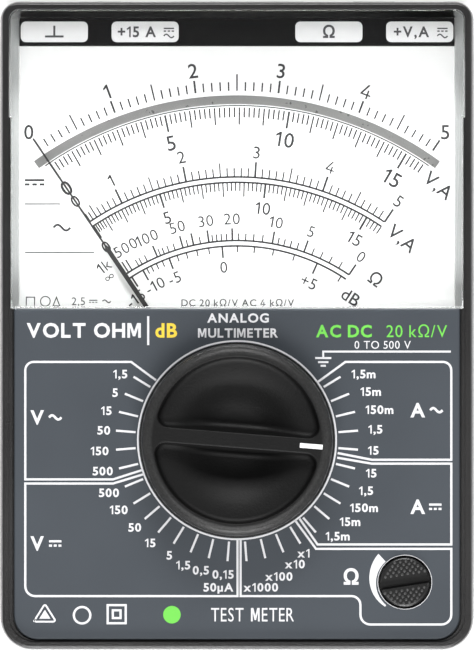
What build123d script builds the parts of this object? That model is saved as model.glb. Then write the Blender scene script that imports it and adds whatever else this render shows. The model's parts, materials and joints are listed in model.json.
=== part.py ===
from build123d import *
import os
from math import cos, radians, sin, tan

os.makedirs("parts", exist_ok=True)

# An analog multimeter lying on its back. The origin is at the middle of its footprint on the
# table, +X to the right of the dial, +Y toward the terminal end and +Z out of the face.
# All sizes are in millimetres.

# Overall sizes of the closed case
width = 92.0
length = 126.0
height = 45.0
foot_height = 1.2
parting_z = 17.0
rim_z = 37.0
draft_angle = 1.5
upper_corner_radius = 3.6
lower_corner_radius = 6.2
wall = 2.0
floor_wall = 2.2
fit = 0.1
running = 0.05

case_base_z = foot_height
inner_floor_z = case_base_z + floor_wall
rim_inset = (rim_z - parting_z) * tan(radians(draft_angle))
rim_half_width = width / 2 - rim_inset
rim_half_length = length / 2 - rim_inset

# Face: window above, face plate below, both let into the rim
split_y = 3.35
rim_land = 1.25
window_half_width = width / 2 - 2.2
window_step = 0.3
window_step_y = 40.3
window_top_y = rim_half_length - rim_land
window_wall = 1.55
window_roof = 1.6
window_face_z = rim_z - 0.1
window_corner_radius = 2.0
plate_half_width = width / 2 - 2.8
plate_thickness = 1.0
plate_top_z = rim_z - 0.8
plate_gap = 0.3
plate_corner_radius = 4.7
pocket_floor_z = plate_top_z - plate_thickness
panel_back_z = pocket_floor_z - 2.0
ledge_depth = 0.6

# Dial
dial_top_z = 25.0
dial_thickness = 0.5
dial_lower_y = 0.6
dial_ledge_width = 3.0
dial_ledge_thickness = 2.0
mirror_inner_radius = 65.4
mirror_outer_radius = 67.1
mirror_thickness = 0.1
strip_lower_y = 54.2
strip_top_z = 33.5

# Measuring movement
pivot_y = -22.4
rest_angle = 124.0
full_scale_angle = 56.0
pointer_length = 70.8
pointer_bar_length = 45.0
pointer_bar_width = 0.9
pointer_tip_width = 0.36
pointer_thickness = 0.4
pointer_z = 25.9
pointer_tail = 9.0
frame_disc_z = 6.0
frame_disc_thickness = 2.0
yoke_inner_radius = 10.0
yoke_outer_radius = 14.5
yoke_height = 12.0
core_radius = 6.0
core_height = 10.0
coil_gap = 0.6
former_wall = 0.4
former_width = 5.0
winding_depth = 1.2
winding_width = 4.4
post_gap = 0.9
post_radius = 1.8
ear_half_width = 3.2
ear_screw_gap = 2.6
bridge_z = 27.0
bridge_thickness = 0.7
bridge_width = 5.0
band_radius = 0.15

# Mechanical zero, turned from the back
zero_distance = 9.0
zero_eccentricity = 0.8
zero_pin_radius = 0.7
zero_head_radius = 3.0
zero_fork_clearance = 0.06
zero_lever_z = 4.2
zero_lever_thickness = 1.0

# Range selector
selector_y = -22.2
position_pitch = 9.0
position_count = 28
first_position = 31.5
selector_rest = -4.5
knob_radius = 18.6
knob_skirt_radius = 18.9
knob_clearance = 0.2
scoop_radius = 16.2
scoop_depth = 6.4
bar_width = 2.8
knob_crown = 1.5
spindle_radius = 5.0
rotor_radius = 20.0
rotor_bottom_z = 30.7
rotor_thickness = 2.2
drive_width = 6.0
stop_angle = 9.0
lug_width = 2.8
notch_depth = 0.35
ball_radius = 1.0

# Circuit boards
board_thickness = 1.6
switch_board_upper_y = 0.9
switch_board_lower_y = 4.0 - length / 2
switch_board_z = 28.2
switch_board_half_width = width / 2 - 5.0
main_board_z = 8.0
main_board_half_width = width / 2 - 9.5
main_board_lower_y = -2.0
main_board_end_gap = 0.5
track_thickness = 0.1

# Ohm adjuster
ohm_x = width / 2 - 13.5
ohm_y = 13.3 - length / 2
ohm_radius = 4.8
ohm_well_radius = 5.2
ohm_shaft_radius = 3.0
ohm_slot_width = 1.65
ohm_slot_angle = 8.8

# Terminals, 4 mm sockets in the end wall, on the parting line
jack_bore_radius = 2.0
jack_wall = 0.7
jack_outer_x = 35.4
jack_inner_x = 17.8
jack_z = parting_z
jack_recess = 1.5
sleeve_length = 16.5
shroud_side = 9.4
shroud_collar = 0.6
shroud_length = 14.0

# Battery, one AA cell lying across the lower end
cell_radius = 7.1
cell_length = 50.2
cell_nub_radius = 2.7
cell_nub_length = 1.0
cell_y = 12.5 - length / 2
cell_gap = 0.4
lid_half_length = 33.0
lid_half_width = 8.0
lid_flange = 1.0
lid_thickness = 2.0
lid_screw_x = 30.6
bay_wall = 1.4

# Fasteners and feet
boss_radius = 3.2
lower_screw_inset = 7.5
upper_screw_inset = 5.8
lower_screw_y = 6.5 - length / 2
upper_screw_y = 36.0
case_screw_radius = 1.25
case_screw_head_radius = 2.6
case_screw_head_z = 7.2
foot_radius = 3.6
foot_seat = 0.8
foot_inset = 7.4
lower_foot_y = 16.0 - length / 2
upper_foot_y = length / 2 - 13.0
standoff_radius = 2.5
board_screw_radius = 1.0
board_screw_inset = 3.5
board_screw_lower_y = 7.5
switch_screw_inset = 4.5
switch_screw_upper_y = -4.0
switch_screw_lower_y = -38.0

dial_z = dial_top_z - dial_thickness
sleeve_radius = jack_bore_radius + jack_wall
end_face_y = length / 2
sleeve_front_y = end_face_y - jack_recess
sleeve_rear_y = sleeve_front_y - sleeve_length
jack_places = [-jack_outer_x, -jack_inner_x, jack_inner_x, jack_outer_x]
main_board_upper_y = sleeve_rear_y - main_board_end_gap
lower_screw_x = width / 2 - lower_screw_inset
upper_screw_x = width / 2 - upper_screw_inset
case_screw_places = [
    (-lower_screw_x, lower_screw_y),
    (lower_screw_x, lower_screw_y),
    (-upper_screw_x, upper_screw_y),
    (upper_screw_x, upper_screw_y),
]
foot_x = width / 2 - foot_inset
foot_places = [(x, y) for y in (lower_foot_y, upper_foot_y) for x in (-foot_x, foot_x)]
main_screw_x = main_board_half_width - board_screw_inset
main_screw_ys = (board_screw_lower_y, main_board_upper_y - 5.5)
main_board_places = [(x, y) for y in main_screw_ys for x in (-main_screw_x, main_screw_x)]
switch_screw_x = switch_board_half_width - switch_screw_inset
switch_screw_ys = (switch_screw_upper_y, switch_screw_lower_y)
switch_board_places = [(x, y) for y in switch_screw_ys for x in (-switch_screw_x, switch_screw_x)]
post_offset = yoke_outer_radius + post_radius + post_gap
ear_screw_x = post_offset + post_radius + ear_screw_gap
movement_places = [(-ear_screw_x, pivot_y), (ear_screw_x, pivot_y)]
frame_top_z = frame_disc_z + frame_disc_thickness
core_z = frame_top_z + 3.0
yoke_z = core_z - (yoke_height - core_height) / 2
switch_top_z = switch_board_z + board_thickness
main_top_z = main_board_z + board_thickness
cell_z = case_base_z + lid_thickness + cell_gap + cell_radius


def case_outline(inset):
    """The outline of the case at its parting line, drawn in by inset on every side."""
    with BuildSketch(mode=Mode.PRIVATE) as outline:
        Rectangle(width - 2 * inset, length - 2 * inset)
        fillet(outline.vertices().group_by(Axis.Y)[-1], upper_corner_radius - inset)
        fillet(outline.vertices().group_by(Axis.Y)[0], lower_corner_radius - inset)
    return outline.sketch


def span(x_min, x_max, y_min, y_max):
    """A rectangle between two x and two y values, drawn in the open sketch."""
    with Locations(((x_min + x_max) / 2, (y_min + y_max) / 2)):
        return Rectangle(x_max - x_min, y_max - y_min)


def window_outline(grown):
    """The stepped outline of the window, grown by a clearance on its outer sides."""
    half = window_half_width + grown
    top = window_top_y + grown
    with BuildSketch(mode=Mode.PRIVATE) as outline:
        span(-half, half, split_y - grown, top)
        span(-half - window_step, half + window_step, window_step_y, top)
        fillet(outline.vertices().group_by(Axis.Y)[-1], window_corner_radius + grown)
    return outline.sketch


# ---- Front case ----
jack_notch = shroud_side + 2 * fit
with BuildPart() as front_case:
    with BuildSketch(Plane.XY.offset(parting_z)):
        add(case_outline(0))
    extrude(amount=rim_z - parting_z, taper=draft_angle)
    fillet(front_case.edges().group_by(Axis.Z)[-1], 0.5)
    # inside hollow, open to the rear
    with BuildSketch(Plane.XY.offset(parting_z)):
        add(case_outline(wall))
    extrude(amount=panel_back_z - parting_z, mode=Mode.SUBTRACT)
    # rebate that takes the lip of the rear case
    with BuildSketch(Plane.XY.offset(parting_z)):
        add(case_outline(wall / 2))
    extrude(amount=1.0, mode=Mode.SUBTRACT)
    # opening that the window fills
    with BuildSketch(Plane.XY.offset(dial_z)):
        add(window_outline(fit))
    extrude(amount=rim_z - dial_z + 1, mode=Mode.SUBTRACT)
    # room for the lower edge of the dial, which runs in under the panel
    with BuildSketch(Plane.XY.offset(dial_z)):
        span(-window_half_width - fit, window_half_width + fit, dial_lower_y - fit, split_y)
    extrude(amount=dial_thickness + fit, mode=Mode.SUBTRACT)
    # pocket for the face plate
    with BuildSketch(Plane.XY.offset(pocket_floor_z)) as plate_pocket:
        pocket_half = plate_half_width + plate_gap
        span(-pocket_half, pocket_half, -rim_half_length + rim_land + 0.1, split_y)
        fillet(plate_pocket.vertices().group_by(Axis.Y)[0], plate_corner_radius + plate_gap)
    extrude(amount=rim_z, mode=Mode.SUBTRACT)
    # step that runs round inside the rim
    with BuildSketch(Plane.XY.offset(rim_z - ledge_depth)) as rim_step:
        Rectangle(2 * (rim_half_width - rim_land), 2 * (rim_half_length - rim_land + 0.1))
        fillet(rim_step.vertices().group_by(Axis.Y)[-1], window_corner_radius + 0.2)
        fillet(rim_step.vertices().group_by(Axis.Y)[0], plate_corner_radius + plate_gap + 0.2)
    extrude(amount=rim_z, mode=Mode.SUBTRACT)
    # ledge that carries the dial on three sides
    ledge_inner = window_half_width - dial_ledge_width
    with BuildSketch(Plane.XY.offset(dial_z - dial_ledge_thickness)):
        span(-window_half_width - 0.8, window_half_width + 0.8, dial_lower_y - 1, window_top_y + 0.6)
        with Locations((0, dial_lower_y - 2)):
            Rectangle(2 * ledge_inner, 2 * (window_top_y - dial_ledge_width - dial_lower_y + 2),
                      mode=Mode.SUBTRACT)
    extrude(amount=dial_ledge_thickness)
    # bosses for the case screws, stopping under the dial at the upper pair
    with BuildSketch(Plane.XY.offset(parting_z)):
        with Locations(case_screw_places[:2]):
            Circle(boss_radius)
    extrude(amount=panel_back_z - parting_z)
    with BuildSketch(Plane.XY.offset(parting_z)):
        with Locations(case_screw_places[2:]):
            Circle(boss_radius)
    extrude(amount=dial_z - parting_z)
    # standoffs that carry the switch board
    with BuildSketch(Plane.XY.offset(switch_top_z)):
        with Locations(switch_board_places):
            Circle(standoff_radius)
    extrude(amount=panel_back_z - switch_top_z)
    # two blocks that stop the rotor's lug a degree past the first and last positions
    with BuildSketch(Plane.XY.offset(rotor_bottom_z + 0.2)):
        last_position = first_position - position_pitch * (position_count - 1)
        for angle in (first_position + stop_angle, last_position - stop_angle):
            with Locations((0, selector_y)):
                with PolarLocations(rotor_radius + 1.6, 1, start_angle=angle):
                    Rectangle(2.0, 3.0)
    extrude(amount=panel_back_z - rotor_bottom_z - 0.2)
    # bore for the selector spindle, well and bore for the ohm adjuster
    with BuildSketch(Plane.XY.offset(panel_back_z - 0.1)):
        with Locations((0, selector_y)):
            Circle(spindle_radius + running, mode=Mode.ADD)
    extrude(amount=pocket_floor_z - panel_back_z + 0.2, mode=Mode.SUBTRACT)
    with BuildSketch(Plane.XY.offset(pocket_floor_z - 1)):
        with Locations((ohm_x, ohm_y)):
            Circle(ohm_well_radius)
    extrude(amount=2, mode=Mode.SUBTRACT)
    with BuildSketch(Plane.XY.offset(panel_back_z - 0.1)):
        with Locations((ohm_x, ohm_y)):
            Circle(ohm_shaft_radius + running)
    extrude(amount=2, mode=Mode.SUBTRACT)
    # pilot holes for the case screws, the board screws and the dial screws
    with BuildSketch(Plane.XY.offset(parting_z)):
        with Locations(case_screw_places):
            Circle(case_screw_radius + running)
    extrude(amount=5.5, mode=Mode.SUBTRACT)
    with BuildSketch(Plane.XY.offset(switch_top_z)):
        with Locations(switch_board_places):
            Circle(board_screw_radius + running)
    extrude(amount=2.5, mode=Mode.SUBTRACT)
    dial_screw_places = [(-ledge_inner - 1.4, 2.1), (ledge_inner + 1.4, 2.1)]
    with BuildSketch(Plane.XY.offset(dial_z)):
        with Locations(dial_screw_places):
            Circle(0.8 + running)
    extrude(amount=-1.8, mode=Mode.SUBTRACT)
    # square notches for the socket shrouds
    for x in jack_places:
        with BuildSketch(Plane.XY.offset(parting_z)):
            with Locations((x, end_face_y)):
                Rectangle(jack_notch, 4 * wall)
        extrude(amount=jack_notch / 2, mode=Mode.SUBTRACT)
front_case.part.label = "front_case"
export_step(front_case.part, "parts/front_case.step")

# ---- Rear case ----
bay_x = cell_length / 2 + 1.6
bay_upper_y = cell_y + cell_radius + 0.2
with BuildPart() as rear_case:
    with BuildSketch(Plane.XY.offset(parting_z)):
        add(case_outline(0))
    extrude(amount=case_base_z - parting_z, taper=draft_angle)
    fillet(rear_case.edges().group_by(Axis.Z)[0], 2.0)
    with BuildSketch(Plane.XY.offset(inner_floor_z)):
        add(case_outline(wall))
    extrude(amount=parting_z - inner_floor_z, mode=Mode.SUBTRACT)
    # lip that locates the front case
    with BuildSketch(Plane.XY.offset(parting_z - 1)):
        add(case_outline(wall / 2 + fit))
        add(case_outline(wall), mode=Mode.SUBTRACT)
    extrude(amount=1.9)
    # walls of the battery bay
    with BuildSketch(Plane.XY.offset(inner_floor_z)):
        span(-bay_x - bay_wall, bay_x + bay_wall, bay_upper_y, bay_upper_y + bay_wall)
        for side in (-1, 1):
            with Locations((side * (bay_x + bay_wall / 2), (bay_upper_y - end_face_y + wall) / 2)):
                Rectangle(bay_wall, bay_upper_y + end_face_y - wall + 1)
        with Locations((-lid_screw_x, cell_y), (lid_screw_x, cell_y)):
            Circle(2.8)
    extrude(amount=11)
    # posts for the case screws, standoffs for the main board and the movement
    with BuildSketch(Plane.XY.offset(case_base_z + 0.5)):
        with Locations(case_screw_places):
            Circle(boss_radius + 0.4)
    extrude(amount=parting_z - case_base_z - 0.5)
    with BuildSketch(Plane.XY.offset(case_base_z + 0.5)):
        with Locations(main_board_places):
            Circle(standoff_radius)
    extrude(amount=main_board_z - case_base_z - 0.5)
    with BuildSketch(Plane.XY.offset(case_base_z + 0.5)):
        with Locations(movement_places):
            Circle(standoff_radius)
    extrude(amount=frame_disc_z - case_base_z - 0.5)
    # battery opening with a step for the cover
    with BuildSketch(Plane.XY.offset(case_base_z)):
        with Locations((0, cell_y)):
            Rectangle(2 * (lid_half_length + fit), 2 * (lid_half_width + fit))
    extrude(amount=lid_thickness / 2 + fit, mode=Mode.SUBTRACT)
    with BuildSketch(Plane.XY.offset(case_base_z)):
        with Locations((0, cell_y)):
            Rectangle(2 * (lid_half_length - lid_flange), 2 * (lid_half_width - lid_flange))
    extrude(amount=lid_thickness + 0.8, mode=Mode.SUBTRACT)
    # pilot holes
    with BuildSketch(Plane.XY.offset(case_base_z + lid_thickness)):
        with Locations((-lid_screw_x, cell_y), (lid_screw_x, cell_y)):
            Circle(board_screw_radius + running)
    extrude(amount=8, mode=Mode.SUBTRACT)
    with BuildSketch(Plane.XY.offset(main_board_z)):
        with Locations(main_board_places):
            Circle(board_screw_radius + running)
    extrude(amount=-4.5, mode=Mode.SUBTRACT)
    with BuildSketch(Plane.XY.offset(frame_disc_z)):
        with Locations(movement_places):
            Circle(board_screw_radius + running)
    extrude(amount=-3.5, mode=Mode.SUBTRACT)
    # counterbored holes for the case screws
    with BuildSketch(Plane.XY.offset(case_base_z)):
        with Locations(case_screw_places):
            Circle(case_screw_radius + 0.25)
    extrude(amount=parting_z, mode=Mode.SUBTRACT)
    with BuildSketch(Plane.XY.offset(case_base_z)):
        with Locations(case_screw_places):
            Circle(case_screw_head_radius + 0.2)
    extrude(amount=case_screw_head_z - case_base_z, mode=Mode.SUBTRACT)
    # seats for the feet
    with BuildSketch(Plane.XY.offset(case_base_z)):
        with Locations(foot_places):
            Circle(foot_radius)
    extrude(amount=foot_seat, mode=Mode.SUBTRACT)
    # stepped hole for the mechanical zero screw
    zero_y = pivot_y + zero_distance
    with BuildSketch(Plane.XY.offset(case_base_z)):
        with Locations((0, zero_y)):
            Circle(zero_head_radius + running)
    extrude(amount=1.2, mode=Mode.SUBTRACT)
    with BuildSketch(Plane.XY.offset(case_base_z)):
        with Locations((0, zero_y)):
            Circle(2 + running)
    extrude(amount=floor_wall + 1, mode=Mode.SUBTRACT)
    # square notches for the socket shrouds
    for x in jack_places:
        with BuildSketch(Plane.XY.offset(parting_z + 2)):
            with Locations((x, end_face_y)):
                Rectangle(jack_notch, 4 * wall)
        extrude(amount=-jack_notch / 2 - 2, mode=Mode.SUBTRACT)
rear_case.part.label = "rear_case"
export_step(rear_case.part, "parts/rear_case.step")

# ---- Rubber feet ----
with BuildPart() as rubber_feet:
    with BuildSketch(Plane.XY):
        with Locations(foot_places):
            Circle(foot_radius)
    extrude(amount=foot_height + foot_seat)
    fillet(rubber_feet.edges().group_by(Axis.Z)[0], 0.4)
rubber_feet.part.label = "rubber_feet"
export_step(rubber_feet.part, "parts/rubber_feet.step")

# ---- Case screws ----
with BuildPart() as case_screws:
    for place in case_screw_places:
        with BuildSketch(Plane.XY.offset(case_screw_head_z - 2)):
            with Locations(place):
                Circle(case_screw_head_radius)
        extrude(amount=2)
        with BuildSketch(Plane.XY.offset(case_screw_head_z)):
            with Locations(place):
                Circle(case_screw_radius)
        extrude(amount=parting_z + 5 - case_screw_head_z)
        with BuildSketch(Plane.XY.offset(case_screw_head_z - 2)):
            with Locations(place):
                Rectangle(3.2, 0.8)
                Rectangle(0.8, 3.2)
        extrude(amount=1.1, mode=Mode.SUBTRACT)
case_screws.part.label = "case_screws"
export_step(case_screws.part, "parts/case_screws.step")

# ---- Battery cover and its captive screws ----
with BuildPart() as battery_cover:
    with BuildSketch(Plane.XY.offset(case_base_z)):
        with Locations((0, cell_y)):
            Rectangle(2 * lid_half_length, 2 * lid_half_width)
    extrude(amount=lid_thickness / 2)
    with BuildSketch(Plane.XY.offset(case_base_z + lid_thickness / 2)):
        with Locations((0, cell_y)):
            Rectangle(2 * (lid_half_length - lid_flange - fit), 2 * (lid_half_width - lid_flange - fit))
    extrude(amount=lid_thickness / 2)
    with BuildSketch(Plane.XY.offset(case_base_z)):
        with Locations((-lid_screw_x, cell_y), (lid_screw_x, cell_y)):
            Circle(board_screw_radius)
    extrude(amount=lid_thickness, mode=Mode.SUBTRACT)
    with BuildSketch(Plane.XY.offset(case_base_z)):
        with Locations((-lid_screw_x, cell_y), (lid_screw_x, cell_y)):
            Circle(2.0)
    extrude(amount=1.0, mode=Mode.SUBTRACT)
    # grip grooves
    with BuildSketch(Plane.XY.offset(case_base_z)):
        with Locations((0, cell_y)):
            with GridLocations(2.4, 1, 5, 1):
                Rectangle(1.0, 9)
    extrude(amount=0.4, mode=Mode.SUBTRACT)
battery_cover.part.label = "battery_cover"
export_step(battery_cover.part, "parts/battery_cover.step")

with BuildPart() as battery_cover_screws:
    for x in (-lid_screw_x, lid_screw_x):
        with BuildSketch(Plane.XY.offset(case_base_z + 0.2)):
            with Locations((x, cell_y)):
                Circle(2.0)
        extrude(amount=0.8)
        with BuildSketch(Plane.XY.offset(case_base_z + 1)):
            with Locations((x, cell_y)):
                Circle(board_screw_radius)
        extrude(amount=7)
        with BuildSketch(Plane.XY.offset(case_base_z + 0.2)):
            with Locations((x, cell_y)):
                Rectangle(5, 0.6)
        extrude(amount=0.5, mode=Mode.SUBTRACT)
battery_cover_screws.part.label = "battery_cover_screws"
export_step(battery_cover_screws.part, "parts/battery_cover_screws.step")

# ---- Battery and its contacts ----
with BuildPart() as battery_cell:
    with BuildSketch(Plane.YZ.offset(-cell_length / 2)):
        with Locations((cell_y, cell_z)):
            Circle(cell_radius)
    extrude(amount=cell_length - cell_nub_length)
    fillet(battery_cell.edges().group_by(Axis.X)[-1], 0.8)
    with BuildSketch(Plane.YZ.offset(cell_length / 2 - cell_nub_length)):
        with Locations((cell_y, cell_z)):
            Circle(cell_nub_radius)
    extrude(amount=cell_nub_length)
battery_cell.part.label = "battery_cell"
export_step(battery_cell.part, "parts/battery_cell.step")

contact_thickness = bay_x - cell_length / 2 - 1.2
with BuildPart() as battery_contacts:
    # a blade against each end wall of the bay, with a dimple that meets the cell
    for side in (-1, 1):
        with BuildSketch(Plane.YZ.offset(side * bay_x)):
            with Locations((cell_y, cell_z)):
                Rectangle(9, 9)
            with Locations((cell_y, cell_z + 5)):
                Rectangle(3, 4)
        extrude(amount=-side * contact_thickness)
        with BuildSketch(Plane.YZ.offset(side * (bay_x - contact_thickness))):
            with Locations((cell_y, cell_z)):
                Circle(2.2)
        extrude(amount=-side * 1.2, taper=25)
battery_contacts.part.label = "battery_contacts"
export_step(battery_contacts.part, "parts/battery_contacts.step")

# ---- Window ----
with BuildPart() as window:
    with BuildSketch(Plane.XY.offset(dial_top_z)):
        add(window_outline(0))
    extrude(amount=window_face_z - dial_top_z)
    fillet(window.edges().group_by(Axis.Z)[-1], 0.4)
    with BuildSketch(Plane.XY.offset(dial_top_z)):
        inner_half = window_half_width - window_wall
        span(-inner_half, inner_half, split_y + window_wall, window_top_y - window_wall)
    extrude(amount=window_face_z - window_roof - dial_top_z, mode=Mode.SUBTRACT)
    # the lower wall stops above the pointer
    with BuildSketch(Plane.XY.offset(dial_top_z)):
        span(-inner_half, inner_half, split_y - 1, split_y + window_wall + 1)
    extrude(amount=bridge_z - dial_top_z + 1, mode=Mode.SUBTRACT)
window.part.label = "window"
export_step(window.part, "parts/window.step")

# ---- Face plate ----
with BuildPart() as face_plate:
    with BuildSketch(Plane.XY.offset(pocket_floor_z)) as plate_sketch:
        plate_lower_y = -rim_half_length + rim_land + 0.1 + plate_gap
        span(-plate_half_width, plate_half_width, plate_lower_y, split_y - 0.05)
        fillet(plate_sketch.vertices().group_by(Axis.Y)[0], plate_corner_radius)
        with Locations((0, selector_y)):
            Circle(spindle_radius + 0.6, mode=Mode.SUBTRACT)
        with Locations((ohm_x, ohm_y)):
            Circle(ohm_well_radius, mode=Mode.SUBTRACT)
    extrude(amount=plate_thickness)
    fillet(face_plate.faces().sort_by(Axis.Z)[-1].outer_wire().edges(), 0.35)
face_plate.part.label = "face_plate"
export_step(face_plate.part, "parts/face_plate.step")

# ---- Dial, mirror band, terminal strip and dial screws ----
with BuildPart() as dial_plate:
    with BuildSketch(Plane.XY.offset(dial_z)) as dial_sketch:
        span(-window_half_width, window_half_width, dial_lower_y, window_top_y)
        fillet(dial_sketch.vertices().group_by(Axis.Y)[-1], window_corner_radius)
        with Locations(dial_screw_places):
            Circle(0.8, mode=Mode.SUBTRACT)
    extrude(amount=dial_thickness)
dial_plate.part.label = "dial_plate"
export_step(dial_plate.part, "parts/dial_plate.step")

with BuildPart() as dial_mirror:
    with BuildSketch(Plane.XY.offset(dial_top_z)):
        with Locations((0, pivot_y)):
            Circle(mirror_outer_radius)
            Circle(mirror_inner_radius, mode=Mode.SUBTRACT)
            # square ends, two degrees past either end of the scale
            reach = 2 * mirror_outer_radius
            ends = [radians(full_scale_angle - 2), radians(rest_angle + 2)]
            Polygon((0, 0), *[(reach * cos(end), reach * sin(end)) for end in ends],
                    align=None, mode=Mode.INTERSECT)
    extrude(amount=mirror_thickness)
dial_mirror.part.label = "dial_mirror"
export_step(dial_mirror.part, "parts/dial_mirror.step")

with BuildPart() as terminal_strip:
    with BuildSketch(Plane.XY.offset(dial_top_z)):
        strip_half = inner_half - fit
        span(-strip_half, strip_half, strip_lower_y, window_top_y - window_wall - fit)
    extrude(amount=strip_top_z - dial_top_z)
    chamfer(terminal_strip.edges().group_by(Axis.Z)[-1].sort_by(Axis.Y)[0], 0.3)
terminal_strip.part.label = "terminal_strip"
export_step(terminal_strip.part, "parts/terminal_strip.step")

with BuildPart() as dial_screws:
    for place in dial_screw_places:
        with BuildSketch(Plane.XY.offset(dial_top_z)):
            with Locations(place):
                Circle(1.1)
        extrude(amount=0.7)
        with BuildSketch(Plane.XY.offset(dial_top_z)):
            with Locations(place):
                Circle(0.8)
        extrude(amount=-dial_thickness - 1.5)
dial_screws.part.label = "dial_screws"
export_step(dial_screws.part, "parts/dial_screws.step")

# ---- Sockets: a square shroud and a brass sleeve each ----
with BuildPart() as jack_shrouds:
    for x in jack_places:
        with BuildSketch(Plane.XZ.offset(-end_face_y + 0.4)):
            with Locations((x, jack_z)):
                RectangleRounded(shroud_side, shroud_side, 0.6)
                Circle(sleeve_radius, mode=Mode.SUBTRACT)
        extrude(amount=shroud_length)
        # collar that bears on the inside of the end wall
        with BuildSketch(Plane.XZ.offset(-end_face_y + wall + fit)):
            with Locations((x, jack_z)):
                Rectangle(shroud_side + 2 * shroud_collar, shroud_side + 2 * shroud_collar)
                Circle(sleeve_radius, mode=Mode.SUBTRACT)
        extrude(amount=2)
jack_shrouds.part.label = "jack_shrouds"
export_step(jack_shrouds.part, "parts/jack_shrouds.step")

for number, x in enumerate(jack_places, 1):
    with BuildPart() as jack_sleeve:
        with BuildSketch(Plane.XZ.offset(-sleeve_front_y)):
            with Locations((x, jack_z)):
                Circle(sleeve_radius)
                Circle(jack_bore_radius, mode=Mode.SUBTRACT)
        extrude(amount=sleeve_length)
    jack_sleeve.part.label = f"jack_sleeve_{number}"
    export_step(jack_sleeve.part, f"parts/jack_sleeve_{number}.step")

# ---- Straps from the sleeves down to the main board ----
with BuildPart() as jack_straps:
    for x in jack_places:
        with BuildSketch(Plane.XY.offset(main_top_z)):
            with Locations((x, sleeve_rear_y - 0.4)):
                Rectangle(2.0, 0.8)
        extrude(amount=jack_z + 1.5 - main_top_z)
jack_straps.part.label = "jack_straps"
export_step(jack_straps.part, "parts/jack_straps.step")

# ---- Movement: frame, magnet, yoke and bridge ----
with BuildPart() as movement_frame:
    with BuildSketch(Plane.XY.offset(frame_disc_z)):
        with Locations((0, pivot_y)):
            Circle(yoke_outer_radius + 0.6)
            Rectangle(2 * ear_screw_x, 2 * ear_half_width)
        with Locations(movement_places):
            Circle(ear_half_width)
            Circle(board_screw_radius + fit, mode=Mode.SUBTRACT)
        with Locations((0, pivot_y)):
            Circle(1.5 + running, mode=Mode.SUBTRACT)
    extrude(amount=frame_disc_thickness)
    # seat that lifts the yoke ring
    with BuildSketch(Plane.XY.offset(frame_top_z)):
        with Locations((0, pivot_y)):
            Circle(yoke_outer_radius)
            Circle(yoke_inner_radius, mode=Mode.SUBTRACT)
    extrude(amount=yoke_z - frame_top_z)
    # posts with riveted ends that carry the bridge
    with BuildSketch(Plane.XY.offset(frame_top_z)):
        with Locations((-post_offset, pivot_y), (post_offset, pivot_y)):
            Circle(post_radius)
    extrude(amount=bridge_z - frame_top_z)
    with BuildSketch(Plane.XY.offset(bridge_z)):
        with Locations((-post_offset, pivot_y), (post_offset, pivot_y)):
            Circle(post_radius / 2)
    extrude(amount=bridge_thickness + 0.2)
movement_frame.part.label = "movement_frame"
export_step(movement_frame.part, "parts/movement_frame.step")

with BuildPart() as movement_screws:
    for place in movement_places:
        with BuildSketch(Plane.XY.offset(frame_top_z)):
            with Locations(place):
                Circle(1.9)
        extrude(amount=1.2)
        with BuildSketch(Plane.XY.offset(frame_top_z)):
            with Locations(place):
                Circle(board_screw_radius)
        extrude(amount=-frame_disc_thickness - 3)
movement_screws.part.label = "movement_screws"
export_step(movement_screws.part, "parts/movement_screws.step")

with BuildPart() as yoke_ring:
    with BuildSketch(Plane.XY.offset(yoke_z)):
        with Locations((0, pivot_y)):
            Circle(yoke_outer_radius)
            Circle(yoke_inner_radius, mode=Mode.SUBTRACT)
    extrude(amount=yoke_height)
yoke_ring.part.label = "yoke_ring"
export_step(yoke_ring.part, "parts/yoke_ring.step")

with BuildPart() as core_magnet:
    with BuildSketch(Plane.XY.offset(core_z)):
        with Locations((0, pivot_y)):
            Circle(core_radius)
    extrude(amount=core_height)
core_magnet.part.label = "core_magnet"
export_step(core_magnet.part, "parts/core_magnet.step")

with BuildPart() as core_spacers:
    with BuildSketch(Plane.XY.offset(core_z + core_height / 2 - 2)):
        with Locations((0, pivot_y)):
            Rectangle(3.6, 2 * yoke_inner_radius + 2)
            Circle(yoke_inner_radius, mode=Mode.INTERSECT)
            Circle(core_radius, mode=Mode.SUBTRACT)
    extrude(amount=4)
core_spacers.part.label = "core_spacers"
export_step(core_spacers.part, "parts/core_spacers.step")

with BuildPart() as front_bridge:
    with BuildSketch(Plane.XY.offset(bridge_z)):
        with Locations((0, pivot_y)):
            Rectangle(2 * post_offset + bridge_width, bridge_width)
            Circle(0.9, mode=Mode.SUBTRACT)
        with Locations((-post_offset, pivot_y), (post_offset, pivot_y)):
            Circle(post_radius / 2, mode=Mode.SUBTRACT)
    extrude(amount=bridge_thickness)
    fillet(front_bridge.edges().filter_by(Axis.Z).group_by(Axis.X)[0], 1.5)
    fillet(front_bridge.edges().filter_by(Axis.Z).group_by(Axis.X)[-1], 1.5)
front_bridge.part.label = "front_bridge"
export_step(front_bridge.part, "parts/front_bridge.step")

# ---- Moving coil, hub, pointer and balance weights ----
coil_half = core_radius + coil_gap
coil_bottom_z = core_z - coil_gap
coil_top_z = core_z + core_height + coil_gap
coil_plane = Plane(
    origin=(0, pivot_y, (coil_bottom_z + coil_top_z) / 2),
    x_dir=(sin(radians(rest_angle)), -cos(radians(rest_angle)), 0),
    z_dir=(cos(radians(rest_angle)), sin(radians(rest_angle)), 0),
)
coil_height = coil_top_z - coil_bottom_z
with BuildPart() as coil_former:
    with BuildSketch(coil_plane):
        Rectangle(2 * (coil_half + former_wall), coil_height + 2 * former_wall)
        Rectangle(2 * coil_half, coil_height, mode=Mode.SUBTRACT)
    extrude(amount=former_width / 2, both=True)
coil_former.part.label = "coil_former"
export_step(coil_former.part, "parts/coil_former.step")

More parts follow.
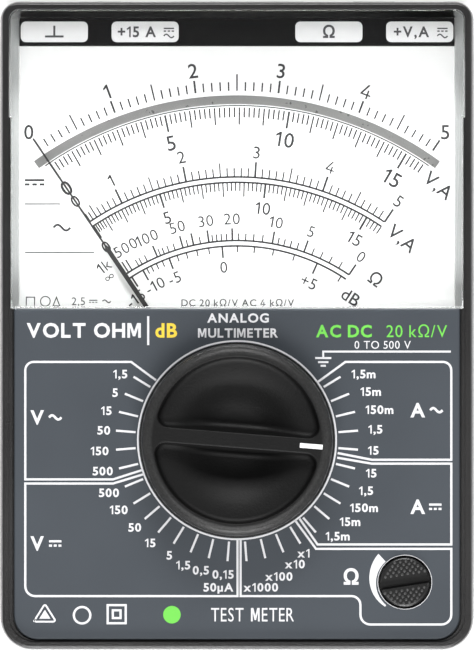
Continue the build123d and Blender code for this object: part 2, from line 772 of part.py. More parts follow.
with BuildPart() as coil_winding:
    with BuildSketch(coil_plane):
        outer = former_wall + winding_depth
        RectangleRounded(2 * (coil_half + outer), coil_height + 2 * outer, 0.8)
        Rectangle(2 * (coil_half + former_wall), coil_height + 2 * former_wall, mode=Mode.SUBTRACT)
    extrude(amount=winding_width / 2, both=True)
coil_winding.part.label = "coil_winding"
export_step(coil_winding.part, "parts/coil_winding.step")

hub_z = coil_top_z + former_wall + winding_depth
hub_rear_z = coil_bottom_z - former_wall - winding_depth
with BuildPart() as coil_hubs:
    with BuildSketch(Plane.XY.offset(hub_z)):
        with Locations((0, pivot_y)):
            Circle(1.9)
    extrude(amount=pointer_z - hub_z)
    with BuildSketch(Plane.XY.offset(pointer_z)):
        with Locations((0, pivot_y)):
            Circle(1.0)
    extrude(amount=pointer_thickness)
    with BuildSketch(Plane.XY.offset(hub_rear_z)):
        with Locations((0, pivot_y)):
            Circle(1.4)
    extrude(amount=frame_top_z + 0.3 - hub_rear_z)
coil_hubs.part.label = "coil_hubs"
export_step(coil_hubs.part, "parts/coil_hubs.step")

pointer_plane = Plane(
    origin=(0, pivot_y, pointer_z),
    x_dir=(cos(radians(rest_angle)), sin(radians(rest_angle)), 0),
    z_dir=(0, 0, 1),
)
with BuildPart() as pointer:
    with BuildSketch(pointer_plane):
        Circle(2.6)
        bar_half = pointer_bar_width / 2
        tip_half = pointer_tip_width / 2
        with BuildLine():
            Polyline(
                (-pointer_tail, -bar_half),
                (pointer_bar_length, -bar_half),
                (pointer_bar_length + 0.8, -tip_half),
                (pointer_length, -tip_half),
                (pointer_length, tip_half),
                (pointer_bar_length + 0.8, tip_half),
                (pointer_bar_length, bar_half),
                (-pointer_tail, bar_half),
                close=True,
            )
        make_face()
        with Locations((0, -3)):
            Rectangle(pointer_bar_width, 6)
        Circle(1.0, mode=Mode.SUBTRACT)
    extrude(amount=pointer_thickness)
pointer.part.label = "pointer"
export_step(pointer.part, "parts/pointer.step")

with BuildPart() as balance_weights:
    with BuildSketch(pointer_plane.offset(pointer_thickness)):
        with Locations((-pointer_tail + 1.4, 0), (0, -4.6)):
            Circle(1.2)
    extrude(amount=0.5)
balance_weights.part.label = "balance_weights"
export_step(balance_weights.part, "parts/balance_weights.step")

# ---- Taut bands that carry the coil, and their anchors ----
with BuildPart() as taut_bands:
    for start_z, end_z in (
        (pointer_z + pointer_thickness + 0.05, bridge_z + bridge_thickness),
        (frame_disc_z + 0.4, frame_top_z + 0.25),
    ):
        with BuildSketch(Plane.XY.offset(start_z)):
            with Locations((0, pivot_y)):
                Circle(band_radius)
        extrude(amount=end_z - start_z)
taut_bands.part.label = "taut_bands"
export_step(taut_bands.part, "parts/taut_bands.step")

with BuildPart() as band_anchor_front:
    with BuildSketch(Plane.XY.offset(bridge_z)):
        with Locations((0, pivot_y)):
            Circle(0.9)
            Circle(band_radius, mode=Mode.SUBTRACT)
    extrude(amount=bridge_thickness)
band_anchor_front.part.label = "band_anchor_front"
export_step(band_anchor_front.part, "parts/band_anchor_front.step")

# ---- Mechanical zero: lever under the movement, screw through the back ----
with BuildPart() as zero_lever:
    with BuildSketch(Plane.XY.offset(zero_lever_z)):
        with Locations((0, pivot_y)):
            Circle(2.6)
        fork_end = zero_distance + zero_eccentricity + 1.2
        fork_slot = 2 * (zero_pin_radius + zero_fork_clearance)
        with Locations((0, pivot_y + fork_end / 2)):
            Rectangle(4.2, fork_end)
        with Locations((0, pivot_y + zero_distance + 1)):
            Rectangle(fork_slot, 6, mode=Mode.SUBTRACT)
    extrude(amount=zero_lever_thickness)
    with BuildSketch(Plane.XY.offset(zero_lever_z + zero_lever_thickness)):
        with Locations((0, pivot_y)):
            Circle(1.5)
    extrude(amount=frame_disc_z + 1.5 - zero_lever_z - zero_lever_thickness)
    with BuildSketch(Plane.XY.offset(frame_disc_z)):
        with Locations((0, pivot_y)):
            Circle(band_radius + running)
    extrude(amount=2, mode=Mode.SUBTRACT)
zero_lever.part.label = "zero_lever"
export_step(zero_lever.part, "parts/zero_lever.step")

with BuildPart() as zero_screw:
    with BuildSketch(Plane.XY.offset(case_base_z + 0.1)):
        with Locations((0, zero_y)):
            Circle(zero_head_radius)
    extrude(amount=1.0)
    with BuildSketch(Plane.XY.offset(case_base_z + 1)):
        with Locations((0, zero_y)):
            Circle(2)
    extrude(amount=zero_lever_z - 0.2 - case_base_z - 1)
    with BuildSketch(Plane.XY.offset(zero_lever_z - 0.3)):
        with Locations((0, zero_y - zero_eccentricity)):
            Circle(zero_pin_radius)
    extrude(amount=zero_lever_thickness + 0.5)
    with BuildSketch(Plane.XY.offset(case_base_z + 0.1)):
        with Locations((0, zero_y)):
            Rectangle(0.9, 7)
    extrude(amount=0.6, mode=Mode.SUBTRACT)
zero_screw.part.label = "zero_screw"
export_step(zero_screw.part, "parts/zero_screw.step")

# ---- Selector knob ----
knob_base_z = plate_top_z + knob_clearance
knob_plane = Plane(
    origin=(0, selector_y, 0),
    x_dir=(cos(radians(selector_rest)), sin(radians(selector_rest)), 0),
    z_dir=(0, 0, 1),
)
scoop_floor_z = height - scoop_depth
scoop_shelf_z = height - 0.3 * scoop_depth
with BuildPart() as scoop:
    # finger hollow beside the bar, D shaped in plan, with drafted walls
    with BuildSketch(Plane.XY.offset(height + 0.5)) as scoop_plan:
        Circle(scoop_radius)
        with Locations((0, bar_width / 2 - scoop_radius)):
            Rectangle(2 * scoop_radius + 2, 2 * scoop_radius, mode=Mode.SUBTRACT)
        fillet(scoop_plan.vertices(), 2.2)
    extrude(amount=-scoop_depth - 1.5, taper=8)
    # its floor is a bowl that climbs to a shelf inside the rim
    with BuildSketch(Plane.XZ):
        with BuildLine():
            Line((0, height + 1), (0, scoop_floor_z))
            Spline(
                (0, scoop_floor_z),
                (0.4 * scoop_radius, scoop_floor_z + 0.1 * scoop_depth),
                (0.7 * scoop_radius, scoop_floor_z + 0.5 * scoop_depth),
                (scoop_radius + 1, scoop_shelf_z),
                tangents=((1, 0), (1, 0.15)),
            )
            Line((scoop_radius + 1, scoop_shelf_z), (scoop_radius + 1, height + 1))
            Line((scoop_radius + 1, height + 1), (0, height + 1))
        make_face()
    revolve(axis=Axis.Z, mode=Mode.INTERSECT)
    fillet(scoop.edges().filter_by(lambda edge: edge.center().Z < height - 0.5), 1.1)
    mirror(about=Plane.XZ)
with BuildPart() as selector_knob:
    with BuildSketch(knob_plane.offset(knob_base_z)):
        Circle(knob_skirt_radius)
    extrude(amount=1.0)
    # crowned body, lower at its edge than over the bar
    with BuildSketch(Plane(origin=knob_plane.origin, x_dir=(1, 0, 0), z_dir=(0, -1, 0))):
        crown_z = height - knob_crown
        with BuildLine():
            Polyline((0, height), (0, knob_base_z + 1), (knob_radius, knob_base_z + 1),
                     (knob_radius - 0.2, crown_z))
            ThreePointArc((knob_radius - 0.2, crown_z), (knob_radius - 0.8, height - 0.3 * knob_crown),
                          (scoop_radius + 0.5, height))
            Line((scoop_radius + 0.5, height), (0, height))
        make_face()
    revolve(axis=Axis((0, selector_y, 0), (0, 0, 1)))
    with Locations(knob_plane.location):
        add(scoop.part, mode=Mode.SUBTRACT)
    fillet(selector_knob.faces().sort_by(Axis.Z)[-1].inner_wires().edges(), 0.35)
    # spindle and square drive
    with BuildSketch(knob_plane.offset(rotor_bottom_z + rotor_thickness + 0.1)):
        Circle(spindle_radius)
    extrude(amount=knob_base_z - rotor_bottom_z - rotor_thickness - 0.1)
    with BuildSketch(knob_plane.offset(rotor_bottom_z)):
        Rectangle(drive_width, drive_width)
    extrude(amount=rotor_thickness + 0.1)
    # pilot hole for the screw that holds the rotor
    with BuildSketch(knob_plane.offset(rotor_bottom_z)):
        Circle(board_screw_radius)
    extrude(amount=5, mode=Mode.SUBTRACT)
    # hollow for the index insert
    with BuildSketch(knob_plane.offset(height - 0.4)):
        with Locations((14.4, 0)):
            Rectangle(4.4, 0.9)
    extrude(amount=1, mode=Mode.SUBTRACT)
selector_knob.part.label = "selector_knob"
export_step(selector_knob.part, "parts/selector_knob.step")

with BuildPart() as knob_index:
    with BuildSketch(knob_plane.offset(height - 0.4)):
        with Locations((14.4, 0)):
            Rectangle(4.4, 0.9)
    extrude(amount=0.4)
knob_index.part.label = "knob_index"
export_step(knob_index.part, "parts/knob_index.step")

# ---- Selector rotor, its screw, wipers and detent ----
with BuildPart() as switch_rotor:
    with BuildSketch(knob_plane.offset(rotor_bottom_z)):
        Circle(rotor_radius)
        with Locations((rotor_radius + 0.3, 0)):
            Rectangle(2.6, lug_width)
        with PolarLocations(rotor_radius + 1.3 - notch_depth, round(360 / position_pitch),
                            start_angle=position_pitch / 2):
            Circle(1.3, mode=Mode.SUBTRACT)
        Rectangle(drive_width + fit, drive_width + fit, mode=Mode.SUBTRACT)
    extrude(amount=rotor_thickness)
switch_rotor.part.label = "switch_rotor"
export_step(switch_rotor.part, "parts/switch_rotor.step")

with BuildPart() as rotor_screw:
    with BuildSketch(knob_plane.offset(rotor_bottom_z - 0.8)):
        Circle(drive_width * 0.75)
    extrude(amount=0.8)
    with BuildSketch(knob_plane.offset(rotor_bottom_z)):
        Circle(board_screw_radius)
    extrude(amount=4.5)
    with BuildSketch(knob_plane.offset(rotor_bottom_z - 0.8)):
        Rectangle(5, 0.8)
        Rectangle(0.8, 5)
    extrude(amount=0.5, mode=Mode.SUBTRACT)
rotor_screw.part.label = "rotor_screw"
export_step(rotor_screw.part, "parts/rotor_screw.step")

common_track_radius = 9.5
pad_radius = 17.0
with BuildPart() as wiper_contacts:
    with BuildSketch(knob_plane.offset(rotor_bottom_z - 0.2)):
        with PolarLocations((common_track_radius + pad_radius) / 2, 3):
            Rectangle(pad_radius - common_track_radius + 2, 1.2)
    extrude(amount=0.2)
    with BuildSketch(knob_plane.offset(switch_top_z + track_thickness + running)):
        with PolarLocations(common_track_radius, 3):
            Circle(0.45)
        with PolarLocations(pad_radius, 3):
            Circle(0.45)
    extrude(until=Until.NEXT)
wiper_contacts.part.label = "wiper_contacts"
export_step(wiper_contacts.part, "parts/wiper_contacts.step")

ball_y = selector_y + rotor_radius + ball_radius + 2 * running
ball_z = rotor_bottom_z + rotor_thickness / 2
with BuildPart() as detent_ball:
    with Locations((0, ball_y, ball_z)):
        Sphere(ball_radius)
detent_ball.part.label = "detent_ball"
export_step(detent_ball.part, "parts/detent_ball.step")

with BuildPart() as detent_spring:
    # leaf held between two pegs and pressing on the ball
    leaf_y = ball_y + ball_radius + 0.2
    with BuildSketch(Plane.XY.offset(switch_top_z + 0.3)):
        with BuildLine() as leaf_line:
            ThreePointArc((-6, leaf_y + 1.6), (0, leaf_y), (6, leaf_y + 1.6))
        trace(line_width=0.3)
    extrude(amount=2.6)
detent_spring.part.label = "detent_spring"
export_step(detent_spring.part, "parts/detent_spring.step")

# ---- Switch board and its tracks ----
with BuildPart() as switch_board:
    with BuildSketch(Plane.XY.offset(switch_board_z)):
        span(-switch_board_half_width, switch_board_half_width, switch_board_lower_y, switch_board_upper_y)
        with Locations(case_screw_places[:2]):
            Circle(boss_radius + 0.8, mode=Mode.SUBTRACT)
            Rectangle(2 * boss_radius + 1.6, 2 * boss_radius + 1.6, mode=Mode.SUBTRACT)
        with Locations((0, selector_y)):
            Circle(drive_width * 0.75 + 0.5, mode=Mode.SUBTRACT)
        with Locations(switch_board_places):
            Circle(board_screw_radius + fit, mode=Mode.SUBTRACT)
    extrude(amount=board_thickness)
switch_board.part.label = "switch_board"
export_step(switch_board.part, "parts/switch_board.step")

with BuildPart() as switch_tracks:
    with BuildSketch(Plane.XY.offset(switch_top_z)):
        with Locations((0, selector_y)):
            Circle(common_track_radius + 1)
            Circle(common_track_radius - 1, mode=Mode.SUBTRACT)
            with PolarLocations(pad_radius, position_count, start_angle=first_position,
                                angular_range=-position_pitch * position_count):
                Rectangle(3.0, 1.5)
    extrude(amount=track_thickness)
switch_tracks.part.label = "switch_tracks"
export_step(switch_tracks.part, "parts/switch_tracks.step")

with BuildPart() as switch_board_screws:
    for place in switch_board_places:
        with BuildSketch(Plane.XY.offset(switch_board_z)):
            with Locations(place):
                Circle(1.9)
        extrude(amount=-1.0)
        with BuildSketch(Plane.XY.offset(switch_board_z)):
            with Locations(place):
                Circle(board_screw_radius)
        extrude(amount=board_thickness + 2.2)
switch_board_screws.part.label = "switch_board_screws"
export_step(switch_board_screws.part, "parts/switch_board_screws.step")

# ---- Ohm adjuster ----
pot_height = panel_back_z - switch_top_z - 0.2
with BuildPart() as ohm_pot:
    with BuildSketch(Plane.XY.offset(switch_top_z)):
        with Locations((ohm_x, ohm_y)):
            Circle(5.0)
    extrude(amount=pot_height)
    with BuildSketch(Plane.XY.offset(switch_top_z + 0.6)):
        with Locations((ohm_x, ohm_y)):
            Circle(ohm_shaft_radius + running)
    extrude(amount=pot_height, mode=Mode.SUBTRACT)
ohm_pot.part.label = "ohm_pot"
export_step(ohm_pot.part, "parts/ohm_pot.step")

ohm_top_z = plate_top_z + 0.5
with BuildPart() as ohm_knob:
    with BuildSketch(Plane.XY.offset(switch_top_z + 0.7)):
        with Locations((ohm_x, ohm_y)):
            Circle(ohm_shaft_radius)
    extrude(amount=pocket_floor_z - switch_top_z - 0.9)
    with BuildSketch(Plane.XY.offset(pocket_floor_z - 0.8)):
        with Locations((ohm_x, ohm_y)):
            Circle(ohm_radius)
    extrude(amount=ohm_top_z - pocket_floor_z + 0.8)
    fillet(ohm_knob.edges().group_by(Axis.Z)[-1], 0.5)
    with BuildSketch(Plane.XY.offset(ohm_top_z - 1.2)):
        with Locations(Location((ohm_x, ohm_y, 0), (0, 0, ohm_slot_angle))):
            Rectangle(2 * ohm_radius + 2, ohm_slot_width)
    extrude(amount=2, mode=Mode.SUBTRACT)
ohm_knob.part.label = "ohm_knob"
export_step(ohm_knob.part, "parts/ohm_knob.step")

# ---- Main board and what stands on it ----
with BuildPart() as main_board:
    with BuildSketch(Plane.XY.offset(main_board_z)):
        span(-main_board_half_width, main_board_half_width, main_board_lower_y, main_board_upper_y)
        with Locations(main_board_places):
            Circle(board_screw_radius + fit, mode=Mode.SUBTRACT)
    extrude(amount=board_thickness)
main_board.part.label = "main_board"
export_step(main_board.part, "parts/main_board.step")

with BuildPart() as main_board_screws:
    for place in main_board_places:
        with BuildSketch(Plane.XY.offset(main_top_z)):
            with Locations(place):
                Circle(1.9)
        extrude(amount=1.2)
        with BuildSketch(Plane.XY.offset(main_top_z)):
            with Locations(place):
                Circle(board_screw_radius)
        extrude(amount=-board_thickness - 3.5)
main_board_screws.part.label = "main_board_screws"
export_step(main_board_screws.part, "parts/main_board_screws.step")

# pins that join the two boards, either side of the pointer's sweep
with BuildPart() as link_pins:
    with BuildSketch(Plane.XY.offset(main_top_z)):
        for side in (-1, 1):
            with Locations((side * 29, dial_lower_y - 1.2)):
                with GridLocations(2, 2, 6, 1):
                    Rectangle(0.6, 0.6)
    extrude(amount=switch_board_z - main_top_z)
link_pins.part.label = "link_pins"
export_step(link_pins.part, "parts/link_pins.step")

fuse_radius = 2.6
fuse_y = 30.0
fuse_z = main_top_z + fuse_radius + 1.2
fuse_places = [-13.0, 13.0]
fuse_length = 20.0
cap_length = 5.0
with BuildPart() as fuse_tubes:
    for x in fuse_places:
        with BuildSketch(Plane.YZ.offset(x - fuse_length / 2 + 0.4)):
            with Locations((fuse_y, fuse_z)):
                Circle(fuse_radius - 0.2)
                Circle(fuse_radius - 0.7, mode=Mode.SUBTRACT)
        extrude(amount=fuse_length - 0.8)
fuse_tubes.part.label = "fuse_tubes"
export_step(fuse_tubes.part, "parts/fuse_tubes.step")

with BuildPart() as fuse_caps:
    for x in fuse_places:
        for side in (-1, 1):
            with BuildSketch(Plane.YZ.offset(x + side * fuse_length / 2)):
                with Locations((fuse_y, fuse_z)):
                    Circle(fuse_radius)
            extrude(amount=-side * cap_length)
            with BuildSketch(Plane.YZ.offset(x + side * (fuse_length / 2 - 0.4))):
                with Locations((fuse_y, fuse_z)):
                    Circle(fuse_radius - 0.2)
            extrude(amount=-side * cap_length, mode=Mode.SUBTRACT)
fuse_caps.part.label = "fuse_caps"
export_step(fuse_caps.part, "parts/fuse_caps.step")

with BuildPart() as fuse_clips:
    for x in fuse_places:
        for side in (-1, 1):
            with BuildSketch(Plane.YZ.offset(x + side * (fuse_length / 2 - 1))):
                with Locations((fuse_y, fuse_z)):
                    Circle(fuse_radius + 0.5)
                with Locations((fuse_y, fuse_z - 2.4)):
                    Rectangle(4.4, 2 * (fuse_z - 2.4 - main_top_z))
                with Locations((fuse_y, fuse_z)):
                    Circle(fuse_radius, mode=Mode.SUBTRACT)
                with Locations((fuse_y, fuse_z + 3)):
                    Rectangle(4.2, 3.4, mode=Mode.SUBTRACT)
            extrude(amount=-side * 3)
fuse_clips.part.label = "fuse_clips"
export_step(fuse_clips.part, "parts/fuse_clips.step")

resistor_radius = 1.15
resistor_length = 6.2
resistor_z = main_top_z + resistor_radius + 0.3
resistor_rows = [5.0, 10.0, 15.0]
resistor_count = 5
resistor_pitch = 12.0
resistor_places = [
    ((column - (resistor_count - 1) / 2) * resistor_pitch, row)
    for row in resistor_rows
    for column in range(resistor_count)
]
with BuildPart() as resistors:
    for x, y in resistor_places:
        with BuildSketch(Plane.YZ.offset(x - resistor_length / 2)):
            with Locations((y, resistor_z)):
                Circle(resistor_radius)
        extrude(amount=resistor_length)
resistors.part.label = "resistors"
export_step(resistors.part, "parts/resistors.step")

with BuildPart() as resistor_leads:
    for x, y in resistor_places:
        for side in (-1, 1):
            with BuildSketch(Plane.YZ.offset(x + side * resistor_length / 2)):
                with Locations((y, resistor_z)):
                    Rectangle(0.5, 0.5)
            extrude(amount=side * 1.3)
            with BuildSketch(Plane.XY.offset(main_top_z)):
                with Locations((x + side * (resistor_length / 2 + 1.05), y)):
                    Rectangle(0.5, 0.5)
            extrude(amount=resistor_z - main_top_z)
resistor_leads.part.label = "resistor_leads"
export_step(resistor_leads.part, "parts/resistor_leads.step")

shunt_y = 36.0
with BuildPart() as shunt_bar:
    with BuildSketch(Plane.XZ.offset(-shunt_y)):
        with Locations((-24, main_top_z + 3)):
            Rectangle(12, 6)
        with Locations((-24, main_top_z + 2.5)):
            Rectangle(10, 5, mode=Mode.SUBTRACT)
    extrude(amount=3)
shunt_bar.part.label = "shunt_bar"
export_step(shunt_bar.part, "parts/shunt_bar.step")

trimmer_places = [(-30.0, 22.0), (-20.0, 22.0)]
trimmer_side = 6.8
trimmer_height = 4.8
with BuildPart() as trimmers:
    for place in trimmer_places:
        with BuildSketch(Plane.XY.offset(main_top_z)):
            with Locations(place):
                Rectangle(trimmer_side, trimmer_side)
        extrude(amount=trimmer_height)
trimmers.part.label = "trimmers"
export_step(trimmers.part, "parts/trimmers.step")

with BuildPart() as trimmer_screws:
    for place in trimmer_places:
        with BuildSketch(Plane.XY.offset(main_top_z + trimmer_height)):
            with Locations(place):
                Circle(1.8)
        extrude(amount=0.8)
        with BuildSketch(Plane.XY.offset(main_top_z + trimmer_height + 0.4)):
            with Locations(place):
                Rectangle(4, 0.6)
        extrude(amount=0.5, mode=Mode.SUBTRACT)
trimmer_screws.part.label = "trimmer_screws"
export_step(trimmer_screws.part, "parts/trimmer_screws.step")

with BuildPart() as capacitor:
    with BuildSketch(Plane.XY.offset(main_top_z)):
        with Locations((28, 22)):
            Circle(3.2)
    extrude(amount=9)
    fillet(capacitor.edges().group_by(Axis.Z)[-1], 0.5)
capacitor.part.label = "capacitor"
export_step(capacitor.part, "parts/capacitor.step")
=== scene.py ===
import json
import math

import bmesh
import bpy
from mathutils import Matrix, Vector


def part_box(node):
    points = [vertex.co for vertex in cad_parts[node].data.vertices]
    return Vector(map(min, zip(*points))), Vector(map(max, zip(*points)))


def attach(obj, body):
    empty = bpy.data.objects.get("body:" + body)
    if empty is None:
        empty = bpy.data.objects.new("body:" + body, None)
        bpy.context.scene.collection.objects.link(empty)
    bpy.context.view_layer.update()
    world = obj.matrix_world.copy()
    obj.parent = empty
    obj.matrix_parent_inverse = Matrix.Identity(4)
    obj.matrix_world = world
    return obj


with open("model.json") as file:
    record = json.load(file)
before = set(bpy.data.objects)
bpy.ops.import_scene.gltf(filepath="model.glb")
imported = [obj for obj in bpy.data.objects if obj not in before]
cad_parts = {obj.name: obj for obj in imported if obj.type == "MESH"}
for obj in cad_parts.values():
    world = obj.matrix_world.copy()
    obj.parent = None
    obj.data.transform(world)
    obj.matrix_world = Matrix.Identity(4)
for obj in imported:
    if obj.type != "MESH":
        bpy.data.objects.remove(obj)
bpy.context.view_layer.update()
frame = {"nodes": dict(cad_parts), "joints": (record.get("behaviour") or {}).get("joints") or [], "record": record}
MM = 0.001

# ---- Case shells ----
# Front and rear shells are injection moulded in dark grey ABS and meet at the parting line.
# The tool was spark eroded, so every outside face has a fine, even grain that scatters the light.


def add_node(tree, kind, inputs=None, **settings):
    """Adds a node, sets its properties, and fills or links its inputs."""
    made = tree.nodes.new(kind)
    for key, value in settings.items():
        setattr(made, key, value)
    for key, value in (inputs or {}).items():
        if isinstance(value, bpy.types.NodeSocket):
            tree.links.new(value, made.inputs[key])
        else:
            made.inputs[key].default_value = value
    return made


def new_group(name, kind, inputs, outputs):
    """A node group with named sockets, and its input and output nodes."""
    group = bpy.data.node_groups.new(name, kind)
    for label, socket, value in inputs:
        made = group.interface.new_socket(label, in_out="INPUT", socket_type="NodeSocket" + socket)
        if value is not None:
            made.default_value = value
    for label, socket in outputs:
        group.interface.new_socket(label, in_out="OUTPUT", socket_type="NodeSocket" + socket)
    return group, add_node(group, "NodeGroupInput").outputs, add_node(group, "NodeGroupOutput").inputs


def map_range(tree, value, low, high, to_low, to_high):
    """A value taken from one range to another."""
    inputs = {"Value": value, "From Min": low, "From Max": high, "To Min": to_low, "To Max": to_high}
    return add_node(tree, "ShaderNodeMapRange", inputs).outputs["Result"]


def noise_between(tree, noise, low, high):
    """Noise, nearly all of which lies between 0.3 and 0.7, taken to a range of its own."""
    return map_range(tree, noise, 0.3, 0.7, low, high)


def reckon(tree, operation, *terms):
    """A value worked out from one, two or three terms."""
    return add_node(tree, "ShaderNodeMath", dict(enumerate(terms)), operation=operation).outputs[0]


def tinted(tree, colour, factor):
    """A colour made darker or lighter by a factor."""
    scaled = add_node(tree, "ShaderNodeVectorMath", {0: colour, "Scale": factor}, operation="SCALE")
    return scaled.outputs["Vector"]


def object_noise(tree, scale, detail=2.0, roughness=0.5):
    """Noise fixed to the piece, at so many cells to the metre."""
    place = add_node(tree, "ShaderNodeTexCoord").outputs["Object"]
    inputs = {"Vector": place, "Scale": scale, "Detail": detail, "Roughness": roughness}
    return add_node(tree, "ShaderNodeTexNoise", inputs).outputs["Fac"]


grain_group, given, result = new_group(
    "moulded_grain", "ShaderNodeTree",
    [("Colour", "Color", None), ("Roughness", "Float", 0.5), ("Grain Scale", "Float", 2500.0),
     ("Fleck", "Float", 0.15)],
    [("Colour", "Color"), ("Roughness", "Float"), ("Height", "Float")],
)
fine = object_noise(grain_group, given["Grain Scale"], 4.0, 0.65)
broad = object_noise(grain_group, 45.0)
high_fleck = reckon(grain_group, "ADD", 1.0, given["Fleck"])
low_fleck = reckon(grain_group, "SUBTRACT", 1.0, given["Fleck"])
fleck = noise_between(grain_group, fine, low_fleck, high_fleck)
cloud = noise_between(grain_group, broad, 0.95, 1.05)
tone = reckon(grain_group, "MULTIPLY", fleck, cloud)
rub = noise_between(grain_group, broad, -0.04, 0.04)
rough = reckon(grain_group, "ADD", given["Roughness"], rub)
grain_group.links.new(tinted(grain_group, given["Colour"], tone), result["Colour"])
grain_group.links.new(rough, result["Roughness"])
grain_group.links.new(fine, result["Height"])


def linear(red, green, blue):
    """A display colour, 0 to 255, as the linear colour that a shader takes."""
    channels = (c / 255 for c in (red, green, blue))
    return tuple(c / 12.92 if c <= 0.04045 else ((c + 0.055) / 1.055) ** 2.4 for c in channels) + (1.0,)


def new_material(name):
    """An empty node material with its output and its Principled shader."""
    material = bpy.data.materials.new(name)
    material.use_nodes = True
    tree = material.node_tree
    shader = tree.nodes["Principled BSDF"]
    return material, tree, shader


def finish_from(tree, shader, group, values, depth):
    """Feeds a shader's colour, roughness and bump from a finish group."""
    placed = add_node(tree, "ShaderNodeGroup")
    placed.node_tree = group
    for key, value in values.items():
        placed.inputs[key].default_value = value
    bump = add_node(tree, "ShaderNodeBump", {"Height": placed.outputs["Height"], "Distance": depth})
    tree.links.new(placed.outputs["Colour"], shader.inputs["Base Color"])
    tree.links.new(placed.outputs["Roughness"], shader.inputs["Roughness"])
    tree.links.new(bump.outputs["Normal"], shader.inputs["Normal"])


def moulded(name, colour, roughness, scale=2500.0, fleck=0.15, depth=0.02, gloss=0.5):
    """Moulded plastic with a spark-eroded grain so many cells to the metre and so deep in millimetres."""
    material, tree, shader = new_material(name)
    shader.inputs["Specular IOR Level"].default_value = gloss
    values = {"Colour": colour, "Roughness": roughness, "Grain Scale": scale, "Fleck": fleck}
    finish_from(tree, shader, grain_group, values, depth * MM)
    return material


slot_nodes = {}
for part in frame["record"]["subparts"]:
    slot_nodes.setdefault(part["material_slot"], []).append(part["node"])


def coat(name, material):
    """Gives a finish to one CAD node."""
    piece = frame["nodes"][name]
    if not piece.material_slots:
        piece.data.materials.append(None)
    for holder in piece.material_slots:
        holder.material = material


def dress(slot, material):
    """Gives a finish to every CAD node that the record puts in a slot."""
    for name in slot_nodes[slot]:
        coat(name, material)


case_plastic = moulded("case_plastic", linear(19, 18, 18), 0.36, 2300.0, 0.35, 0.06, 0.6)
dress("case_plastic", case_plastic)

# ---- Face plate ----
# A one millimetre polycarbonate plate in slate grey lies in a pocket of the front shell, glued all
# over. Its satin top is smoother than the case, and carries the printed ranges.

dress("plate_grey", moulded("plate_grey", (0.044, 0.052, 0.062, 1), 0.5, 5200.0, 0.035, 0.004, 0.35))

# ---- Dial and mirror ----
# The dial is aluminium sheet lacquered white. A polished band set in it shows the pointer's
# reflection, so that a reader can line up the eye with the pointer.

lacquer_group, given, result = new_group(
    "lacquer", "ShaderNodeTree",
    [("Colour", "Color", None), ("Roughness", "Float", 0.5), ("Unevenness", "Float", 0.03)],
    [("Colour", "Color"), ("Roughness", "Float"), ("Height", "Float")],
)
orange_peel = object_noise(lacquer_group, 900.0, 3.0)
drift = object_noise(lacquer_group, 30.0)
low_tone = reckon(lacquer_group, "SUBTRACT", 1.0, given["Unevenness"])
tone = noise_between(lacquer_group, drift, low_tone, 1.0)
rub = noise_between(lacquer_group, orange_peel, -0.03, 0.03)
rough = reckon(lacquer_group, "ADD", given["Roughness"], rub)
lacquer_group.links.new(tinted(lacquer_group, given["Colour"], tone), result["Colour"])
lacquer_group.links.new(rough, result["Roughness"])
lacquer_group.links.new(orange_peel, result["Height"])


def lacquered(name, colour, roughness, unevenness=0.03, depth=0.003, metallic=0.0):
    """A thin coat of lacquer or ink, with a slight orange peel."""
    material, tree, shader = new_material(name)
    shader.inputs["Metallic"].default_value = metallic
    values = {"Colour": colour, "Roughness": roughness, "Unevenness": unevenness}
    finish_from(tree, shader, lacquer_group, values, depth * MM)
    return material


dress("dial_white", lacquered("dial_white", (0.74, 0.74, 0.735, 1), 0.55))
dress("mirror", lacquered("mirror", (0.25, 0.25, 0.245, 1), 0.3, 0.06, 0.001, 0.5))

# ---- Window ----
# One clear acrylic moulding covers the dial and the terminal strip. Its walls stand on the dial
# and its face is level with the rim. The face is polished on both sides, and the walls and their
# feet are satin, so that they scatter the light white.

clear_acrylic, tree, shader = new_material("clear_acrylic")
shader.inputs["Base Color"].default_value = (1.0, 1.0, 1.0, 1)
shader.inputs["IOR"].default_value = 1.49
SATIN, POLISHED = 0.5, 0.02
FOOT_HEIGHT = 0.5 * MM
spot = add_node(tree, "ShaderNodeTexCoord")
upward = add_node(tree, "ShaderNodeSeparateXYZ", {0: spot.outputs["Normal"]}).outputs["Z"]
upward = reckon(tree, "ABSOLUTE", upward)
level = add_node(tree, "ShaderNodeSeparateXYZ", {0: spot.outputs["Object"]}).outputs["Z"]
raised = reckon(tree, "GREATER_THAN", level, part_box("window")[0].z + FOOT_HEIGHT)
polish = reckon(tree, "MULTIPLY", map_range(tree, upward, 0.3, 0.8, 0.0, 1.0), raised)
tree.links.new(map_range(tree, polish, 0.0, 1.0, SATIN, POLISHED), shader.inputs["Roughness"])
shader.inputs["Transmission Weight"].default_value = 1.0
clear_light = add_node(tree, "ShaderNodeBsdfTransparent", {"Color": (0.97, 0.98, 0.98, 1)})
shadow_ray = add_node(tree, "ShaderNodeLightPath").outputs["Is Shadow Ray"]
lit = add_node(tree, "ShaderNodeMixShader",
               {"Fac": shadow_ray, 1: shader.outputs["BSDF"], 2: clear_light.outputs["BSDF"]})
tree.links.new(lit.outputs["Shader"], tree.nodes["Material Output"].inputs["Surface"])
dress("clear_acrylic", clear_acrylic)

# ---- Dial print ----
# Scales, numerals and signs are screen printed on the dial in matt black ink. The scales are arcs
# about the pointer's pivot, and each numeral is turned to stand on its arc.

# the ink stands a little above its face and reaches a little into it, in millimetres
INK_ABOVE = 0.025
INK_BELOW = 0.005
FONT_CAPITAL = 0.682
SPACE_WIDTH = 0.42
SHARPEST_MITRE = 0.3
CORNER_STEPS = 6
glyphs = {}


def close_prism(shape, low, top):
    """The faces of a prism between two rings of corners."""
    shape.faces.new(top)
    shape.faces.new(low[::-1])
    for i in range(len(low)):
        shape.faces.new((low[i - 1], low[i], top[i], top[i - 1]))


